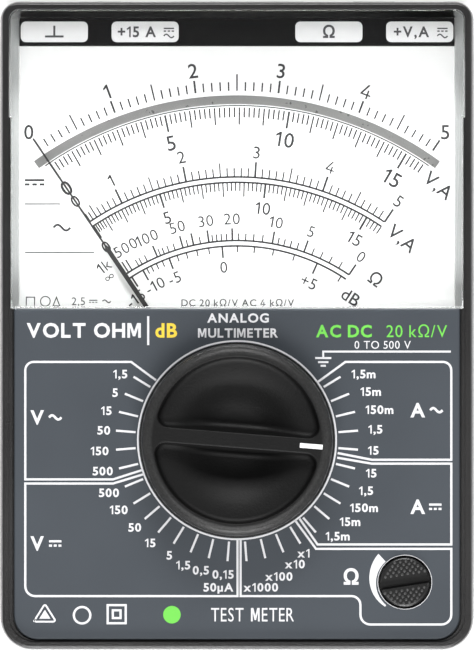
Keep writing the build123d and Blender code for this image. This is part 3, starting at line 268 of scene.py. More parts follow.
def glyph(letter, weight):
    """One letter as a closed prism one unit thick, on the baseline, with capitals one unit high."""
    if (letter, weight) in glyphs:
        return glyphs[letter, weight]
    text = bpy.data.curves.new("letter", "FONT")
    text.body = "H" if letter == " " else letter
    text.resolution_u = 3
    text.extrude = 0.5
    text.offset = weight
    carrier = bpy.data.objects.new("letter", text)
    bpy.context.scene.collection.objects.link(carrier)
    bpy.context.view_layer.update()
    mesh = bpy.data.meshes.new_from_object(carrier)
    bpy.data.objects.remove(carrier)
    size = FONT_CAPITAL + 2 * weight
    left = min(corner.co.x for corner in mesh.vertices)
    mesh.transform(Matrix.Diagonal((1 / size, 1 / size, 1, 1)) @ Matrix.Translation((-left, weight, 0)))
    shape = bmesh.new()
    shape.from_mesh(mesh)
    bmesh.ops.remove_doubles(shape, verts=shape.verts, dist=0.0005)
    shape.to_mesh(mesh)
    shape.free()
    width = max(corner.co.x for corner in mesh.vertices)
    glyphs[letter, weight] = (mesh, width)
    return glyphs[letter, weight]


def arc(centre, radius, start, end, step=1.5):
    """Points of an arc between two angles in degrees."""
    count = max(2, math.ceil(abs(end - start) / step))
    turns = [math.radians(start + (end - start) * i / count) for i in range(count + 1)]
    return [(centre[0] + radius * math.cos(t), centre[1] + radius * math.sin(t)) for t in turns]


def rounded(points, radii):
    """A line with some corners rounded off, one radius for each inner point."""
    line = [points[0]]
    for before, corner, after, radius in zip(points, points[1:], points[2:], radii):
        here = Vector(corner)
        way_in = (here - Vector(before)).normalized()
        way_out = (Vector(after) - here).normalized()
        turn = way_in.angle_signed(way_out)
        if radius == 0 or abs(turn) < 0.01:
            line.append(tuple(here))
            continue
        start = here - way_in * radius * math.tan(abs(turn) / 2)
        side = Vector((way_in.y, -way_in.x)) * (1 if turn > 0 else -1)
        centre = start + side * radius
        for i in range(CORNER_STEPS + 1):
            swing = Matrix.Rotation(-turn * i / CORNER_STEPS, 2)
            line.append(tuple(centre + swing @ (start - centre)))
    return line + [points[-1]]


class Print:
    """Ink of one colour on one flat face, drawn in millimetres."""

    def __init__(self, height):
        self.mesh = bmesh.new()
        self.height = height / MM

    def corners(self, points):
        """The same points at the bottom and at the top of the ink."""
        levels = (self.height - INK_BELOW, self.height + INK_ABOVE)
        return [[self.mesh.verts.new((x, y, z)) for x, y in points] for z in levels]

    def patch(self, points):
        """A filled shape with no hollow in its outline."""
        close_prism(self.mesh, *self.corners(points))

    def strip(self, left, right, closed=False):
        """A filled band between two lines of equally many points."""
        low_left, top_left = self.corners(left)
        low_right, top_right = self.corners(right)
        count = len(left)
        for i in range(count if closed else count - 1):
            j = (i + 1) % count
            self.mesh.faces.new((top_left[i], top_left[j], top_right[j], top_right[i]))
            self.mesh.faces.new((low_left[i], low_right[i], low_right[j], low_left[j]))
            self.mesh.faces.new((low_left[i], low_left[j], top_left[j], top_left[i]))
            self.mesh.faces.new((low_right[i], top_right[i], top_right[j], low_right[j]))
        for i in () if closed else (0, count - 1):
            self.mesh.faces.new((low_left[i], top_left[i], top_right[i], low_right[i]))

    def line(self, points, width, closed=False):
        """A stroke of even width with mitred corners."""
        left, right = [], []
        count = len(points)
        for i in range(count):
            here = Vector(points[i])
            before = Vector(points[i - 1]) if closed or i > 0 else None
            after = Vector(points[(i + 1) % count]) if closed or i < count - 1 else None
            way_in = (here - before).normalized() if before else (after - here).normalized()
            way_out = (after - here).normalized() if after else way_in
            across = Vector((-way_in.y - way_out.y, way_in.x + way_out.x)).normalized()
            reach = width / 2 / max(SHARPEST_MITRE, across.dot(Vector((-way_in.y, way_in.x))))
            left.append(here + across * reach)
            right.append(here - across * reach)
        self.strip(left, right, closed)

    def words(self, text, x, y, cap, turn=0.0, weight=0.0, narrow=1.0, spacing=0.17):
        """A line of letters about a middle point, with capitals of one height, turned in degrees."""
        run, places = 0.0, []
        for letter in text:
            mesh, width = drawn(letter) if letter in drawn_letters else glyph(letter, weight)
            places.append((letter, mesh, run))
            run += SPACE_WIDTH if letter == " " else width * narrow + spacing
        run -= spacing
        thickness = INK_ABOVE + INK_BELOW
        middle = self.height + (INK_ABOVE - INK_BELOW) / 2
        lay = Matrix.Translation((x, y, middle)) @ Matrix.Rotation(math.radians(turn), 4, "Z")
        lay = lay @ Matrix.Diagonal((cap, cap, thickness, 1)) @ Matrix.Translation((-run / 2, -0.5, 0))
        for letter, mesh, start in places:
            if letter == " ":
                continue
            first = len(self.mesh.verts)
            self.mesh.from_mesh(mesh)
            self.mesh.verts.ensure_lookup_table()
            place = lay @ Matrix.Translation((start, 0, 0)) @ Matrix.Diagonal((narrow, 1, 1, 1))
            bmesh.ops.transform(self.mesh, matrix=place, verts=self.mesh.verts[first:])

    def lay_down(self, name, material):
        """Turns the ink into a piece that rides on the case."""
        bmesh.ops.recalc_face_normals(self.mesh, faces=self.mesh.faces)
        mesh = bpy.data.meshes.new(name)
        self.mesh.to_mesh(mesh)
        self.mesh.free()
        mesh.transform(Matrix.Scale(MM, 4))
        place_mesh(name, mesh, material, "case")


def place_mesh(name, mesh, material, body):
    """Links a finished mesh as a piece of the object."""
    mesh.materials.clear()
    mesh.materials.append(material)
    piece = bpy.data.objects.new(name, mesh)
    bpy.context.scene.collection.objects.link(piece)
    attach(piece, body)


# outlines of single letters, one unit high, round the edge from the foot or the top
drawn_letters = {
    "1": [(0.22, 0), (0.37, 0), (0.37, 1), (0.26, 1), (0.0, 0.8), (0.0, 0.66), (0.22, 0.78)],
    "M": [(0, 0), (0.18, 0), (0.18, 0.7), (0.37, 0.1), (0.53, 0.1), (0.72, 0.7), (0.72, 0), (0.9, 0),
          (0.9, 1), (0.65, 1), (0.45, 0.42), (0.25, 1), (0, 1)],
    "4": [(0.36, 1), (0.5, 1), (0.15, 0.34), (0.44, 0.34), (0.44, 0.62), (0.56, 0.62), (0.56, 0.34),
          (0.74, 0.34), (0.74, 0.23), (0.56, 0.23), (0.56, 0), (0.44, 0), (0.44, 0.23), (0, 0.23),
          (0, 0.33)],
}


def drawn(letter):
    """A letter that the font does not draw well: a flagged one, an open four and an even M."""
    if letter not in glyphs:
        outline = drawn_letters[letter]
        shape = bmesh.new()
        low = [shape.verts.new((x, y, -0.5)) for x, y in outline]
        top = [shape.verts.new((x, y, 0.5)) for x, y in outline]
        close_prism(shape, low, top)
        mesh = bpy.data.meshes.new("drawn_letter")
        shape.to_mesh(mesh)
        shape.free()
        glyphs[letter] = (mesh, max(x for x, y in outline) + 0.05)
    return glyphs[letter]


def mended(tree, geometry, material):
    """The end of a repeating tree: plain geometry with its material."""
    real = add_node(tree, "GeometryNodeRealizeInstances", {"Geometry": geometry}).outputs["Geometry"]
    dressed = add_node(tree, "GeometryNodeSetMaterial", {"Geometry": real, "Material": material})
    return dressed.outputs["Geometry"]


# A fan of equal marks about a centre: first angle, pitch and radii in degrees and millimetres.
fan_tree, given, result = new_group(
    "mark_fan", "GeometryNodeTree",
    [("Geometry", "Geometry", None), ("Count", "Int", 10), ("First Angle", "Float", 0.0),
     ("Pitch", "Float", 1.0), ("Inner Radius", "Float", 10.0), ("Outer Radius", "Float", 12.0),
     ("Width", "Float", 0.2), ("Left Out Every", "Int", 0), ("Centre", "Vector", None),
     ("Material", "Material", None)],
    [("Geometry", "Geometry")],
)
line = add_node(fan_tree, "GeometryNodeMeshLine", {"Count": given["Count"]})
index = add_node(fan_tree, "GeometryNodeInputIndex").outputs["Index"]
turn = reckon(fan_tree, "MULTIPLY_ADD", index, given["Pitch"], given["First Angle"])
turn = reckon(fan_tree, "RADIANS", turn)
both = reckon(fan_tree, "ADD", given["Inner Radius"], given["Outer Radius"])
middle = reckon(fan_tree, "MULTIPLY", both, 0.5)
length = reckon(fan_tree, "SUBTRACT", given["Outer Radius"], given["Inner Radius"])
cosine = reckon(fan_tree, "COSINE", turn)
sine = reckon(fan_tree, "SINE", turn)
way = add_node(fan_tree, "ShaderNodeCombineXYZ", {"X": cosine, "Y": sine}).outputs["Vector"]
spot = add_node(fan_tree, "ShaderNodeVectorMath", {0: way, "Scale": middle}, operation="SCALE")
spot = add_node(fan_tree, "ShaderNodeVectorMath", {0: spot.outputs["Vector"], 1: given["Centre"]},
                operation="ADD").outputs["Vector"]
spread = add_node(fan_tree, "GeometryNodeSetPosition", {"Geometry": line.outputs["Mesh"], "Position": spot})
left_over = reckon(fan_tree, "MODULO", index, given["Left Out Every"])
shown = add_node(fan_tree, "FunctionNodeCompare", {0: left_over, 1: 0.5}, operation="GREATER_THAN")
all_shown = add_node(fan_tree, "FunctionNodeCompare", {2: given["Left Out Every"], 3: 1},
                     data_type="INT", operation="LESS_THAN")
kept = add_node(fan_tree, "FunctionNodeBooleanMath", {0: shown.outputs[0], 1: all_shown.outputs[0]},
                operation="OR")
thickness = INK_ABOVE + INK_BELOW
size = add_node(fan_tree, "ShaderNodeCombineXYZ", {"X": length, "Y": given["Width"], "Z": thickness})
mark = add_node(fan_tree, "GeometryNodeMeshCube", {"Size": size.outputs["Vector"]}).outputs["Mesh"]
facing = add_node(fan_tree, "ShaderNodeCombineXYZ", {"Z": turn}).outputs["Vector"]
fanned = add_node(fan_tree, "GeometryNodeInstanceOnPoints",
                  {"Points": spread.outputs["Geometry"], "Selection": kept.outputs[0],
                   "Instance": mark, "Rotation": facing})
fan_tree.links.new(mended(fan_tree, fanned.outputs["Instances"], given["Material"]), result["Geometry"])


def grown(name, tree, values):
    """Runs a repeating tree with its named inputs set, and returns the plain mesh it makes."""
    carrier = bpy.data.objects.new(name, bpy.data.meshes.new(name))
    bpy.context.scene.collection.objects.link(carrier)
    modifier = carrier.modifiers.new("repeat", "NODES")
    modifier.node_group = tree
    identifiers = {item.name: item.identifier for item in tree.interface.items_tree
                   if item.item_type == "SOCKET" and item.in_out == "INPUT"}
    for key, value in values.items():
        modifier[identifiers[key]] = value
    bpy.context.view_layer.update()
    mesh = bpy.data.meshes.new_from_object(carrier.evaluated_get(bpy.context.evaluated_depsgraph_get()))
    carrier.modifiers.remove(modifier)
    bpy.data.objects.remove(carrier)
    return mesh


def mark_fan(sheet, centre, count, first, pitch, inner, outer, width, left_out=0):
    """Adds a fan of marks to a print."""
    level = sheet.height + (INK_ABOVE - INK_BELOW) / 2
    values = {"Count": count, "First Angle": first, "Pitch": pitch, "Inner Radius": inner,
              "Outer Radius": outer, "Width": width, "Left Out Every": left_out,
              "Centre": (centre[0], centre[1], level)}
    mesh = grown("marks", fan_tree, values)
    sheet.mesh.from_mesh(mesh)


joint_places = {joint["name"]: joint.get("pos_m") for joint in frame["joints"]}
dial_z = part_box("dial_plate")[1].z
pivot = (joint_places["pointer_swing"][0] / MM, joint_places["pointer_swing"][1] / MM)
ZERO_ANGLE = 124.0
FULL_ANGLE = 56.0
SWEEP = ZERO_ANGLE - FULL_ANGLE

black_ink = lacquered("dial_ink", (0.012, 0.012, 0.014, 1), 0.6, 0.1)
dial_print = Print(dial_z)


def on_dial(radius, angle):
    """A point of the dial from its radius and angle about the pivot."""
    return (pivot[0] + radius * math.cos(math.radians(angle)),
            pivot[1] + radius * math.sin(math.radians(angle)))


def tick(angle, inner, outer, width):
    """One radial mark on the dial."""
    dial_print.line([on_dial(inner, angle), on_dial(outer, angle)], width)


def numeral(text, radius, angle, cap, weight=0.02, upright=False):
    """A numeral that stands on its arc."""
    x, y = on_dial(radius, angle)
    dial_print.words(text, x, y, cap, 0.0 if upright else angle - 90, weight)


# direct current, 0 to 5 outside the mirror and 0 to 15 inside it: radii and stroke widths
DC_FOOT, MIRROR_LINE, DC_TOP = 67.95, 65.1, 64.75
DC_THIN, DC_HEAVY = 0.3, 0.4
per_unit = SWEEP / 5
mark_fan(dial_print, pivot, 51, ZERO_ANGLE, -per_unit / 10, DC_FOOT, 69.7, DC_THIN, 5)
mark_fan(dial_print, pivot, 11, ZERO_ANGLE, -per_unit / 2, DC_FOOT, 71.2, DC_THIN, 2)
mark_fan(dial_print, pivot, 6, ZERO_ANGLE, -per_unit, DC_FOOT, 70.4, DC_HEAVY)
dial_print.line(arc(pivot, MIRROR_LINE, 124.9, 55.1), 0.22)
for unit in range(6):
    numeral(str(unit), 72.3, ZERO_ANGLE - unit * per_unit, 2.8, 0.01, unit in (0, 5))
per_unit = 4.301
mark_fan(dial_print, pivot, 80, ZERO_ANGLE, -per_unit / 5, 62.8, DC_TOP, DC_THIN, 5)
mark_fan(dial_print, pivot, 16, ZERO_ANGLE, -per_unit, 61.4, DC_TOP, DC_THIN, 5)
mark_fan(dial_print, pivot, 4, ZERO_ANGLE, -per_unit * 5, 61.4, DC_TOP, DC_HEAVY)
for value in (0, 5, 10, 15):
    numeral(str(value), 59.2, ZERO_ANGLE - value * per_unit, 2.9, 0.01)
dial_print.words("V,A", 39.1, 27.2, 2.7, -40, 0.01, 1.0, 0.1)


# alternating current: the rectifier's threshold crowds the low end of the scale
def ac_angle(value):
    """Where an alternating value, 0 to 5, lies on the dial."""
    rise, full = (v - 0.48 * (1 - math.exp(-3 * v)) for v in (value, 5))
    return ZERO_ANGLE - SWEEP * rise / full


# two arcs each, and the step of 10 dB between the 0 to 5 and the 0 to 15 ranges
AC_ARCS = (51.25, 50.2)
OHM_ARCS = (38.9, 37.85)
TO_FIFTEEN = 10 ** -0.5
AC_THIN, AC_HEAVY = 0.27, 0.4
OHM_THIN, OHM_HEAVY = 0.26, 0.36
for radius in AC_ARCS + OHM_ARCS:
    dial_print.line(arc(pivot, radius, ZERO_ANGLE, FULL_ANGLE), OHM_HEAVY)
for tenth in range(51):
    value = tenth / 10
    if value < 0.3 and tenth:
        continue
    whole = tenth % 10 == 0
    reach = 54.25 if whole else 54.0 if tenth % 5 == 0 else 53.0
    tick(ac_angle(value), AC_ARCS[0], reach, AC_HEAVY if whole else AC_THIN)
for fifth in range(80):
    value = fifth / 5
    if value < 1 and fifth:
        continue
    reach = 47.4 if fifth % 5 == 0 else 48.5
    width = AC_HEAVY if fifth % 25 == 0 else AC_THIN
    tick(ac_angle(value * TO_FIFTEEN), reach, AC_ARCS[1], width)
for unit in range(6):
    numeral(str(unit), 56.1, ac_angle(unit), 2.35, 0.005)
for value in (0, 5, 10, 15):
    numeral(str(value), 45.4, ac_angle(value * TO_FIFTEEN), 2.35, 0.005)
dial_print.words("V,A", 32.1, 16.9, 2.7, -40, 0.01, 1.0, 0.1)


# resistance: half scale is the ohmmeter's own inner resistance
OHM_MIDDLE = 18.5
OHM_TOP = 41.3


def ohm_angle(value):
    """Where a resistance lies on the dial."""
    return FULL_ANGLE + SWEEP * value / (value + OHM_MIDDLE)


for low, high, step in ((0, 10, 1), (10, 30, 2), (30, 50, 5), (50, 100, 10), (100, 300, 50)):
    for value in range(low, high, step):
        main = value in (0, 5, 10, 20, 30, 40, 50, 100)
        reach, width = (OHM_TOP, OHM_HEAVY) if main else (40.3, OHM_THIN)
        tick(ohm_angle(value), OHM_ARCS[0], reach, width)
for angle in (ohm_angle(500), ohm_angle(1000), ZERO_ANGLE):
    tick(angle, OHM_ARCS[0], OHM_TOP, 0.3)
# the 100 and the 500 are printed a little off their marks
for text, value in (("0", 0), ("5", 5), ("10", 10), ("20", 20), ("30", 30), ("50", 50), ("100", 107)):
    numeral(text, 43.1, ohm_angle(value), 2.15, 0.0)
numeral("500", 43.3, ohm_angle(500) - 1.6, 2.15, 0.0)
numeral("1k", 42.6, 127.3, 2.15, 0.0)
dial_print.words("∞", -24.8, 9.4, 1.5, 36, 0.0)
dial_print.words("Ω", 26.9, 9.0, 2.5, -37, 0.01)


# level: decibels on the 0 to 5 alternating scale, 0 dB at 0.775 V on the 1.5 V range
def level_angle(decibels):
    """Where a level lies on the dial."""
    return ac_angle(2.45 * 10 ** (decibels / 20))


for level in (-15, *range(-10, 7)):
    main = level % 5 == 0
    reach, width = (35.6, OHM_HEAVY) if main else (36.6, OHM_THIN)
    tick(level_angle(level), reach, OHM_ARCS[1], width)
for text, radius, angle in (("-15", 33.9, 125.5), ("-10", 34.1, 117.8), ("-5", 33.85, 111.0),
                            ("0", 33.8, level_angle(0)), ("+5", 33.8, level_angle(5))):
    numeral(text, radius, angle, 2.15, 0.0)
dial_print.words("dB", 22.1, 5.5, 2.4, -33, 0.01)


def direct_sign(sheet, x, y, wide, thick):
    """The sign for direct current: a line over three dashes."""
    sheet.line([(x - wide / 2, y + thick), (x + wide / 2, y + thick)], thick)
    for i in (-1, 0, 1):
        dash = wide * 0.24
        middle = x + i * (wide - dash) / 2
        sheet.line([(middle - dash / 2, y - thick), (middle + dash / 2, y - thick)], thick)


def wave_sign(sheet, x, y, wide, thick):
    """The sign for alternating current: one period of a wave."""
    steps = 14
    high = wide * 0.17
    points = [(x + wide * (i / steps - 0.5), y + high * math.sin(2 * math.pi * i / steps))
              for i in range(steps + 1)]
    sheet.line(points, thick)


# signs at the left edge of the dial, and the two sensitivity notes at its foot
direct_sign(dial_print, -39.3, 27.8, 3.8, 0.42)
dial_print.line([(-41.2, 23.6), (-34.3, 23.6)], 0.22)
wave_sign(dial_print, -34.0, 19.0, 3.3, 0.42)
dial_print.line([(-41.2, 14.2), (-27.7, 14.2)], 0.22)
dial_print.line([(-40.9, 3.9), (-40.9, 5.5), (-39.3, 5.5), (-39.3, 3.9)], 0.2)
dial_print.line(arc((-37.2, 4.7), 0.95, 0, 345, 15), 0.2, True)
dial_print.line([(-35.7, 3.8), (-34.4, 3.8), (-35.05, 5.5)], 0.2, True)
dial_print.words("2,5", -30.8, 4.7, 1.5, 0, 0.0)
direct_sign(dial_print, -27.9, 4.7, 1.6, 0.2)
wave_sign(dial_print, -25.3, 4.7, 1.6, 0.22)
dial_print.words("DC 20 kΩ/V", -5.3, 4.4, 1.35, 0, 0.005, 1.0, 0.18)
dial_print.words("AC 4 kΩ/V", 6.0, 4.4, 1.35, 0, 0.005, 1.0, 0.18)
dial_print.lay_down("dial_print", black_ink)

# ---- Panel print ----
# Ranges and their frames are screen printed on the face plate in white, with a little yellow and
# green. Every selector position has a mark, and frames gather the positions of one quantity.

white_ink_and_glint = lacquered("panel_ink_and_glint", (0.68, 0.68, 0.7, 1), 0.5, 0.04)
yellow_ink = lacquered("yellow_ink", linear(235, 200, 60), 0.5, 0.04)
green_ink = lacquered("green_ink", linear(104, 196, 72), 0.5, 0.04)
plate_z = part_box("face_plate")[1].z
selector = (joint_places["selector_turn"][0] / MM, joint_places["selector_turn"][1] / MM)
BOLD = 0.028
FRAME_LINE = 0.42

panel_print_and_glint = Print(plate_z)
mark_fan(panel_print_and_glint, selector, 28, 31.5, -9.0, 19.7, 23.5, 0.42)
panel_print_and_glint.line(arc(selector, 19.2, 0, 357, 3), 0.34, True)

legends = [
    ("1,5m", 24.5, -9.4), ("15m", 25.9, -12.8), ("150m", 27.6, -16.3), ("1,5", 26.8, -20.1),
    ("15", 26.4, -24.2), ("15", 26.0, -28.6), ("1,5", 25.0, -32.0), ("150m", 24.6, -35.3),
    ("15m", 21.9, -38.0), ("1,5m", 19.5, -40.8), ("x1", 12.9, -44.1), ("x10", 11.2, -46.2),
    ("x100", 8.1, -48.6), ("x1000", 4.6, -50.7), ("0,15", -2.7, -48.2), ("50µA", -3.6, -50.7),
    ("0,5", -7.0, -47.4), ("1,5", -10.4, -46.4), ("5", -13.1, -44.5), ("15", -16.8, -42.1),
    ("50", -19.8, -39.1), ("150", -22.9, -35.7), ("500", -24.8, -32.4), ("500", -26.0, -28.2),
    ("150", -26.6, -24.3), ("50", -25.8, -20.3), ("15", -25.3, -16.5), ("5", -23.6, -13.0),
    ("1,5", -22.6, -9.4),
]
for text, x, y in legends:
    panel_print_and_glint.words(text, x, y, 1.66, 0, BOLD, 1.06, 0.14)

for text, x, y in (("V", -38.7, -17.8), ("V", -38.7, -42.2), ("A", 35.0, -16.4), ("A", 35.0, -35.1)):
    panel_print_and_glint.words(text, x, y, 2.8, 0, BOLD)
panel_print_and_glint.words("Ω", 22.1, -48.7, 3.0, 0, BOLD)
wave_sign(panel_print_and_glint, -35.2, -17.8, 2.4, 0.46)
wave_sign(panel_print_and_glint, 38.6, -16.4, 2.4, 0.46)
direct_sign(panel_print_and_glint, -35.2, -42.2, 2.4, 0.42)
direct_sign(panel_print_and_glint, 38.4, -35.1, 2.4, 0.42)

# frames, each from the selector's rim round its ranges and back
left, right, top = -41.0, 41.5, -7.05
outlines = [
    ([(-15.7, -10.6), (-20.5, top), (left, top), (left, -29.8), (-24.0, -29.8), (-18.4, -28.0)],
     (0, 1.6, 0, 0)),
    ([(-18.1, -28.8), (-24.0, -30.6), (left, -30.6), (left, -52.4), (0.1, -52.4), (0.1, -41.5)],
     (0, 0, 1.9, 0)),
    ([(0.7, -41.5), (0.7, -52.4), (23.9, -52.4), (23.9, -57.9), (right, -57.9), (right, -43.25),
      (15.3, -43.25), (11.3, -37.8)],
     (0, 1.7, 1.9, 1.9, 0, 0)),
    ([(15.7, -10.9), (21.0, top), (right, top), (right, -26.0), (26.1, -26.0), (19.5, -24.7)],
     (0, 1.6, 0, 0)),
    ([(19.4, -25.6), (26.1, -26.75), (right, -26.75), (right, -42.4), (15.6, -42.4), (12.1, -37.4)],
     (0, 0, 0, 0)),
]
for points, radii in outlines:
    panel_print_and_glint.line(rounded(points, radii), FRAME_LINE)

# a thin ring round the ohm adjuster, a painted glint on the edge of its hole, and a crescent beside it,
# wide at its upper end
adjuster = (joint_places["ohm_adjust"][0] / MM, joint_places["ohm_adjust"][1] / MM)
panel_print_and_glint.line(arc(adjuster, 5.25, 0, 351, 9), 0.1, True)
steps = 24
outer_side, inner_side = [], []
for i in range(steps + 1):
    share = i / steps
    angle = math.radians(133 + 98 * share)
    outer = 7.5 - 1.4 * share
    inner = 5.45 + 0.3 * share
    outer_side.append((adjuster[0] + outer * math.cos(angle), adjuster[1] + outer * math.sin(angle)))
    inner_side.append((adjuster[0] + inner * math.cos(angle), adjuster[1] + inner * math.sin(angle)))
panel_print_and_glint.strip(outer_side, inner_side)

# heading across the top of the plate
panel_print_and_glint.words("VOLT OHM", -29.6, -0.95, 2.85, 0, BOLD, 1.02, 0.15)
panel_print_and_glint.line([(-17.2, 1.8), (-17.2, -3.8)], FRAME_LINE)
panel_print_and_glint.words("ANALOG", 0.2, 1.45, 1.8, 0, BOLD, 1.05, 0.15)
panel_print_and_glint.words("MULTIMETER", 0.2, -1.45, 1.8, 0, BOLD, 1.0, 0.14)
panel_print_and_glint.words("0 TO 500 V", 28.2, -3.75, 1.5, 0, 0.0, 0.95, 0.16)
panel_print_and_glint.line([(16.7, -6.1), (16.7, -5.05), (41.4, -5.05)], 0.38)
for drop, half in ((6.3, 1.55), (7.1, 1.0), (7.8, 0.5)):
    panel_print_and_glint.line([(16.7 - half, -drop), (16.7 + half, -drop)], 0.38)

# signs along the foot of the plate
foot_x, foot_y = -37.2, -56.2
triangle = [(foot_x + 2.5 * math.cos(math.radians(a)), foot_y + 2.3 * math.sin(math.radians(a)))
            for a in (90, 210, 330)]
panel_print_and_glint.line(rounded(triangle + triangle[:2], (0.3, 0.3, 0.3))[1:], 0.34)
panel_print_and_glint.patch([((foot_x + x) / 2, (foot_y + y) / 2) for x, y in triangle])
panel_print_and_glint.line(arc((-30.0, -56.1), 1.6, 0, 345, 15), 0.42, True)
x, y = -23.3, -55.9
for half in (1.75, 0.75):
    square = [(x - half, y - half), (x + half, y - half), (x + half, y + half), (x - half, y + half)]
    panel_print_and_glint.line(square, 0.42, True)
panel_print_and_glint.words("TEST METER", 3.0, -56.0, 2.6, 0, 0.0, 0.72, 0.13)
panel_print_and_glint.lay_down("panel_print_and_glint", white_ink_and_glint)

yellow_print = Print(plate_z)
yellow_print.words("dB", -13.7, -0.95, 2.8, 0, BOLD)
yellow_print.lay_down("panel_print_yellow", yellow_ink)

green_print = Print(plate_z)
green_print.words("AC DC", 20.7, -1.1, 2.4, 0, BOLD, 0.98, 0.13)
green_print.words("20 kΩ/V", 34.8, -1.1, 2.3, 0, 0.0, 0.95, 0.15)
green_print.patch(arc((-12.6, -56.0), 1.7, 0, 348, 12))
green_print.lay_down("panel_print_green", green_ink)

# ---- Terminal strip and its print ----
# A strip of black plastic lies across the head of the dial. Each socket has a white field with
# rounded corners on it, and its name is printed on that field in black.

strip_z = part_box("terminal_strip")[1].z
dress("black_plastic", moulded("black_plastic", linear(30, 30, 31), 0.4, 2800.0, 0.12, 0.008))
strip_black = moulded("strip_black", (0.002, 0.002, 0.002, 1), 0.6, 2800.0, 0.1, 0.004, 0.05)
coat("terminal_strip", strip_black)
sleeves = [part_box("jack_sleeve_%d" % n) for n in (1, 2, 3, 4)]
sockets = [(low.x + high.x) / 2 / MM for low, high in sleeves]
FIELD_Y = 56.9
fields = Print(strip_z)
half_x, half_y, radius = 6.5, 2.0, 1.0
for x in sockets:
    outline = []
    for cx, cy, start in ((1, 1, 0), (-1, 1, 90), (-1, -1, 180), (1, -1, 270)):
        corner = (x + cx * (half_x - radius), FIELD_Y + cy * (half_y - radius))
        outline += arc(corner, radius, start, start + 90, 15)
    fields.patch(outline)
field_ink = lacquered("field_ink", (0.38, 0.38, 0.38, 1), 0.5, 0.04)
fields.lay_down("terminal_fields", field_ink)

names = Print(strip_z + INK_ABOVE * MM)
earth, high_current, ohms, volts = sockets
names.line([(earth, FIELD_Y + 1.2), (earth, FIELD_Y - 0.7)], 0.4)
names.line([(earth - 1.8, FIELD_Y - 0.9), (earth + 1.8, FIELD_Y - 0.9)], 0.4)
names.words("+15 A", high_current - 1.6, FIELD_Y, 2.1, 0, 0.025, 0.98, 0.14)
direct_sign(names, high_current + 4.6, FIELD_Y + 0.4, 2.0, 0.26)
wave_sign(names, high_current + 4.6, FIELD_Y - 0.8, 2.0, 0.26)
names.words("Ω", ohms, FIELD_Y, 2.4, 0, 0.025)
names.words("+V,A", volts - 1.6, FIELD_Y, 2.1, 0, 0.025, 0.98, 0.14)
direct_sign(names, volts + 4.4, FIELD_Y + 0.4, 2.0, 0.26)
wave_sign(names, volts + 4.4, FIELD_Y - 0.8, 2.0, 0.26)
names.lay_down("terminal_names", black_ink)

# ---- Selector knob ----
# The knob is moulded in black and snaps over the spindle. Its crowned ring is painted lighter as a
# painted sheen, the bar and the two scoops are painted darker as painted shade and made duller, and a
# white insert points at the range.

SCOOP_START, SCOOP_END = 16.3 * MM, 16.9 * MM
RING_PAINTED_SHEEN, SCOOP_PAINTED_SHADE, SCOOP_DULL = 5.0, 0.4, 0.2
knob_black = moulded("knob_black", linear(14, 14, 14), 0.34, 2400.0, 0.4, 0.07, 0.22)
tree = knob_black.node_tree
shader = tree.nodes["Principled BSDF"]
place = add_node(tree, "ShaderNodeTexCoord").outputs["Object"]
off_axis = add_node(tree, "ShaderNodeVectorMath", {0: place, 1: joint_places["selector_turn"]},
                    operation="SUBTRACT").outputs["Vector"]
in_plan = add_node(tree, "ShaderNodeVectorMath", {0: off_axis, 1: (1, 1, 0)}, operation="MULTIPLY")
reach = add_node(tree, "ShaderNodeVectorMath", {0: in_plan.outputs["Vector"]}, operation="LENGTH")
in_scoop = map_range(tree, reach.outputs["Value"], SCOOP_START, SCOOP_END, 1.0, 0.0)
grained = shader.inputs["Roughness"].links[0].from_socket
duller = reckon(tree, "MULTIPLY_ADD", in_scoop, SCOOP_DULL, grained)
tree.links.new(duller, shader.inputs["Roughness"])
ring_colour = shader.inputs["Base Color"].links[0].from_socket
# the ring's colour is raised as a painted sheen, and the bar and scoops' colour lowered as painted shade
painted_sheen_and_shade = map_range(tree, in_scoop, 0.0, 1.0, RING_PAINTED_SHEEN, SCOOP_PAINTED_SHADE)
tree.links.new(tinted(tree, ring_colour, painted_sheen_and_shade), shader.inputs["Base Color"])
dress("knob_black", knob_black)
dress("print_white", lacquered("index_white", (0.86, 0.86, 0.87, 1), 0.5, 0.03))

# ---- Ohm adjuster ----
# A small black thumb wheel with a screwdriver slot. Pointed studs are moulded on its face in
# staggered rows on both sides of the slot, so that a finger tip can turn it. The studs are given a
# lighter grey than the wheel, a painted highlight on their points.

stud_tree, given, result = new_group(
    "stud_rows", "GeometryNodeTree",
    [("Geometry", "Geometry", None), ("Columns", "Int", 16), ("Rows", "Int", 14),
     ("Column Pitch", "Float", 0.68), ("Row Pitch", "Float", 0.78), ("Disc Radius", "Float", 4.2),
     ("Slot Half Width", "Float", 1.1), ("Stud Radius", "Float", 0.3), ("Stud Height", "Float", 0.2),
     ("Turn", "Float", 0.0), ("Centre", "Vector", None), ("Material", "Material", None)],
    [("Geometry", "Geometry")],
)
wide = reckon(stud_tree, "MULTIPLY", given["Columns"], given["Column Pitch"])
high = reckon(stud_tree, "MULTIPLY", given["Rows"], given["Row Pitch"])
grid = add_node(stud_tree, "GeometryNodeMeshGrid",
                {"Size X": wide, "Size Y": high, "Vertices X": given["Columns"],
                 "Vertices Y": given["Rows"]}).outputs["Mesh"]
index = add_node(stud_tree, "GeometryNodeInputIndex").outputs["Index"]
row = reckon(stud_tree, "MODULO", index, given["Rows"])
column = reckon(stud_tree, "DIVIDE", index, given["Rows"])
column = reckon(stud_tree, "FLOOR", column)
odd = reckon(stud_tree, "MODULO", reckon(stud_tree, "ADD", row, column), 2.0)
staggered = add_node(stud_tree, "FunctionNodeCompare", {0: odd, 1: 0.5}, operation="LESS_THAN").outputs[0]
spot = add_node(stud_tree, "GeometryNodeInputPosition").outputs["Position"]
reach = add_node(stud_tree, "ShaderNodeVectorMath", {0: spot}, operation="LENGTH").outputs["Value"]
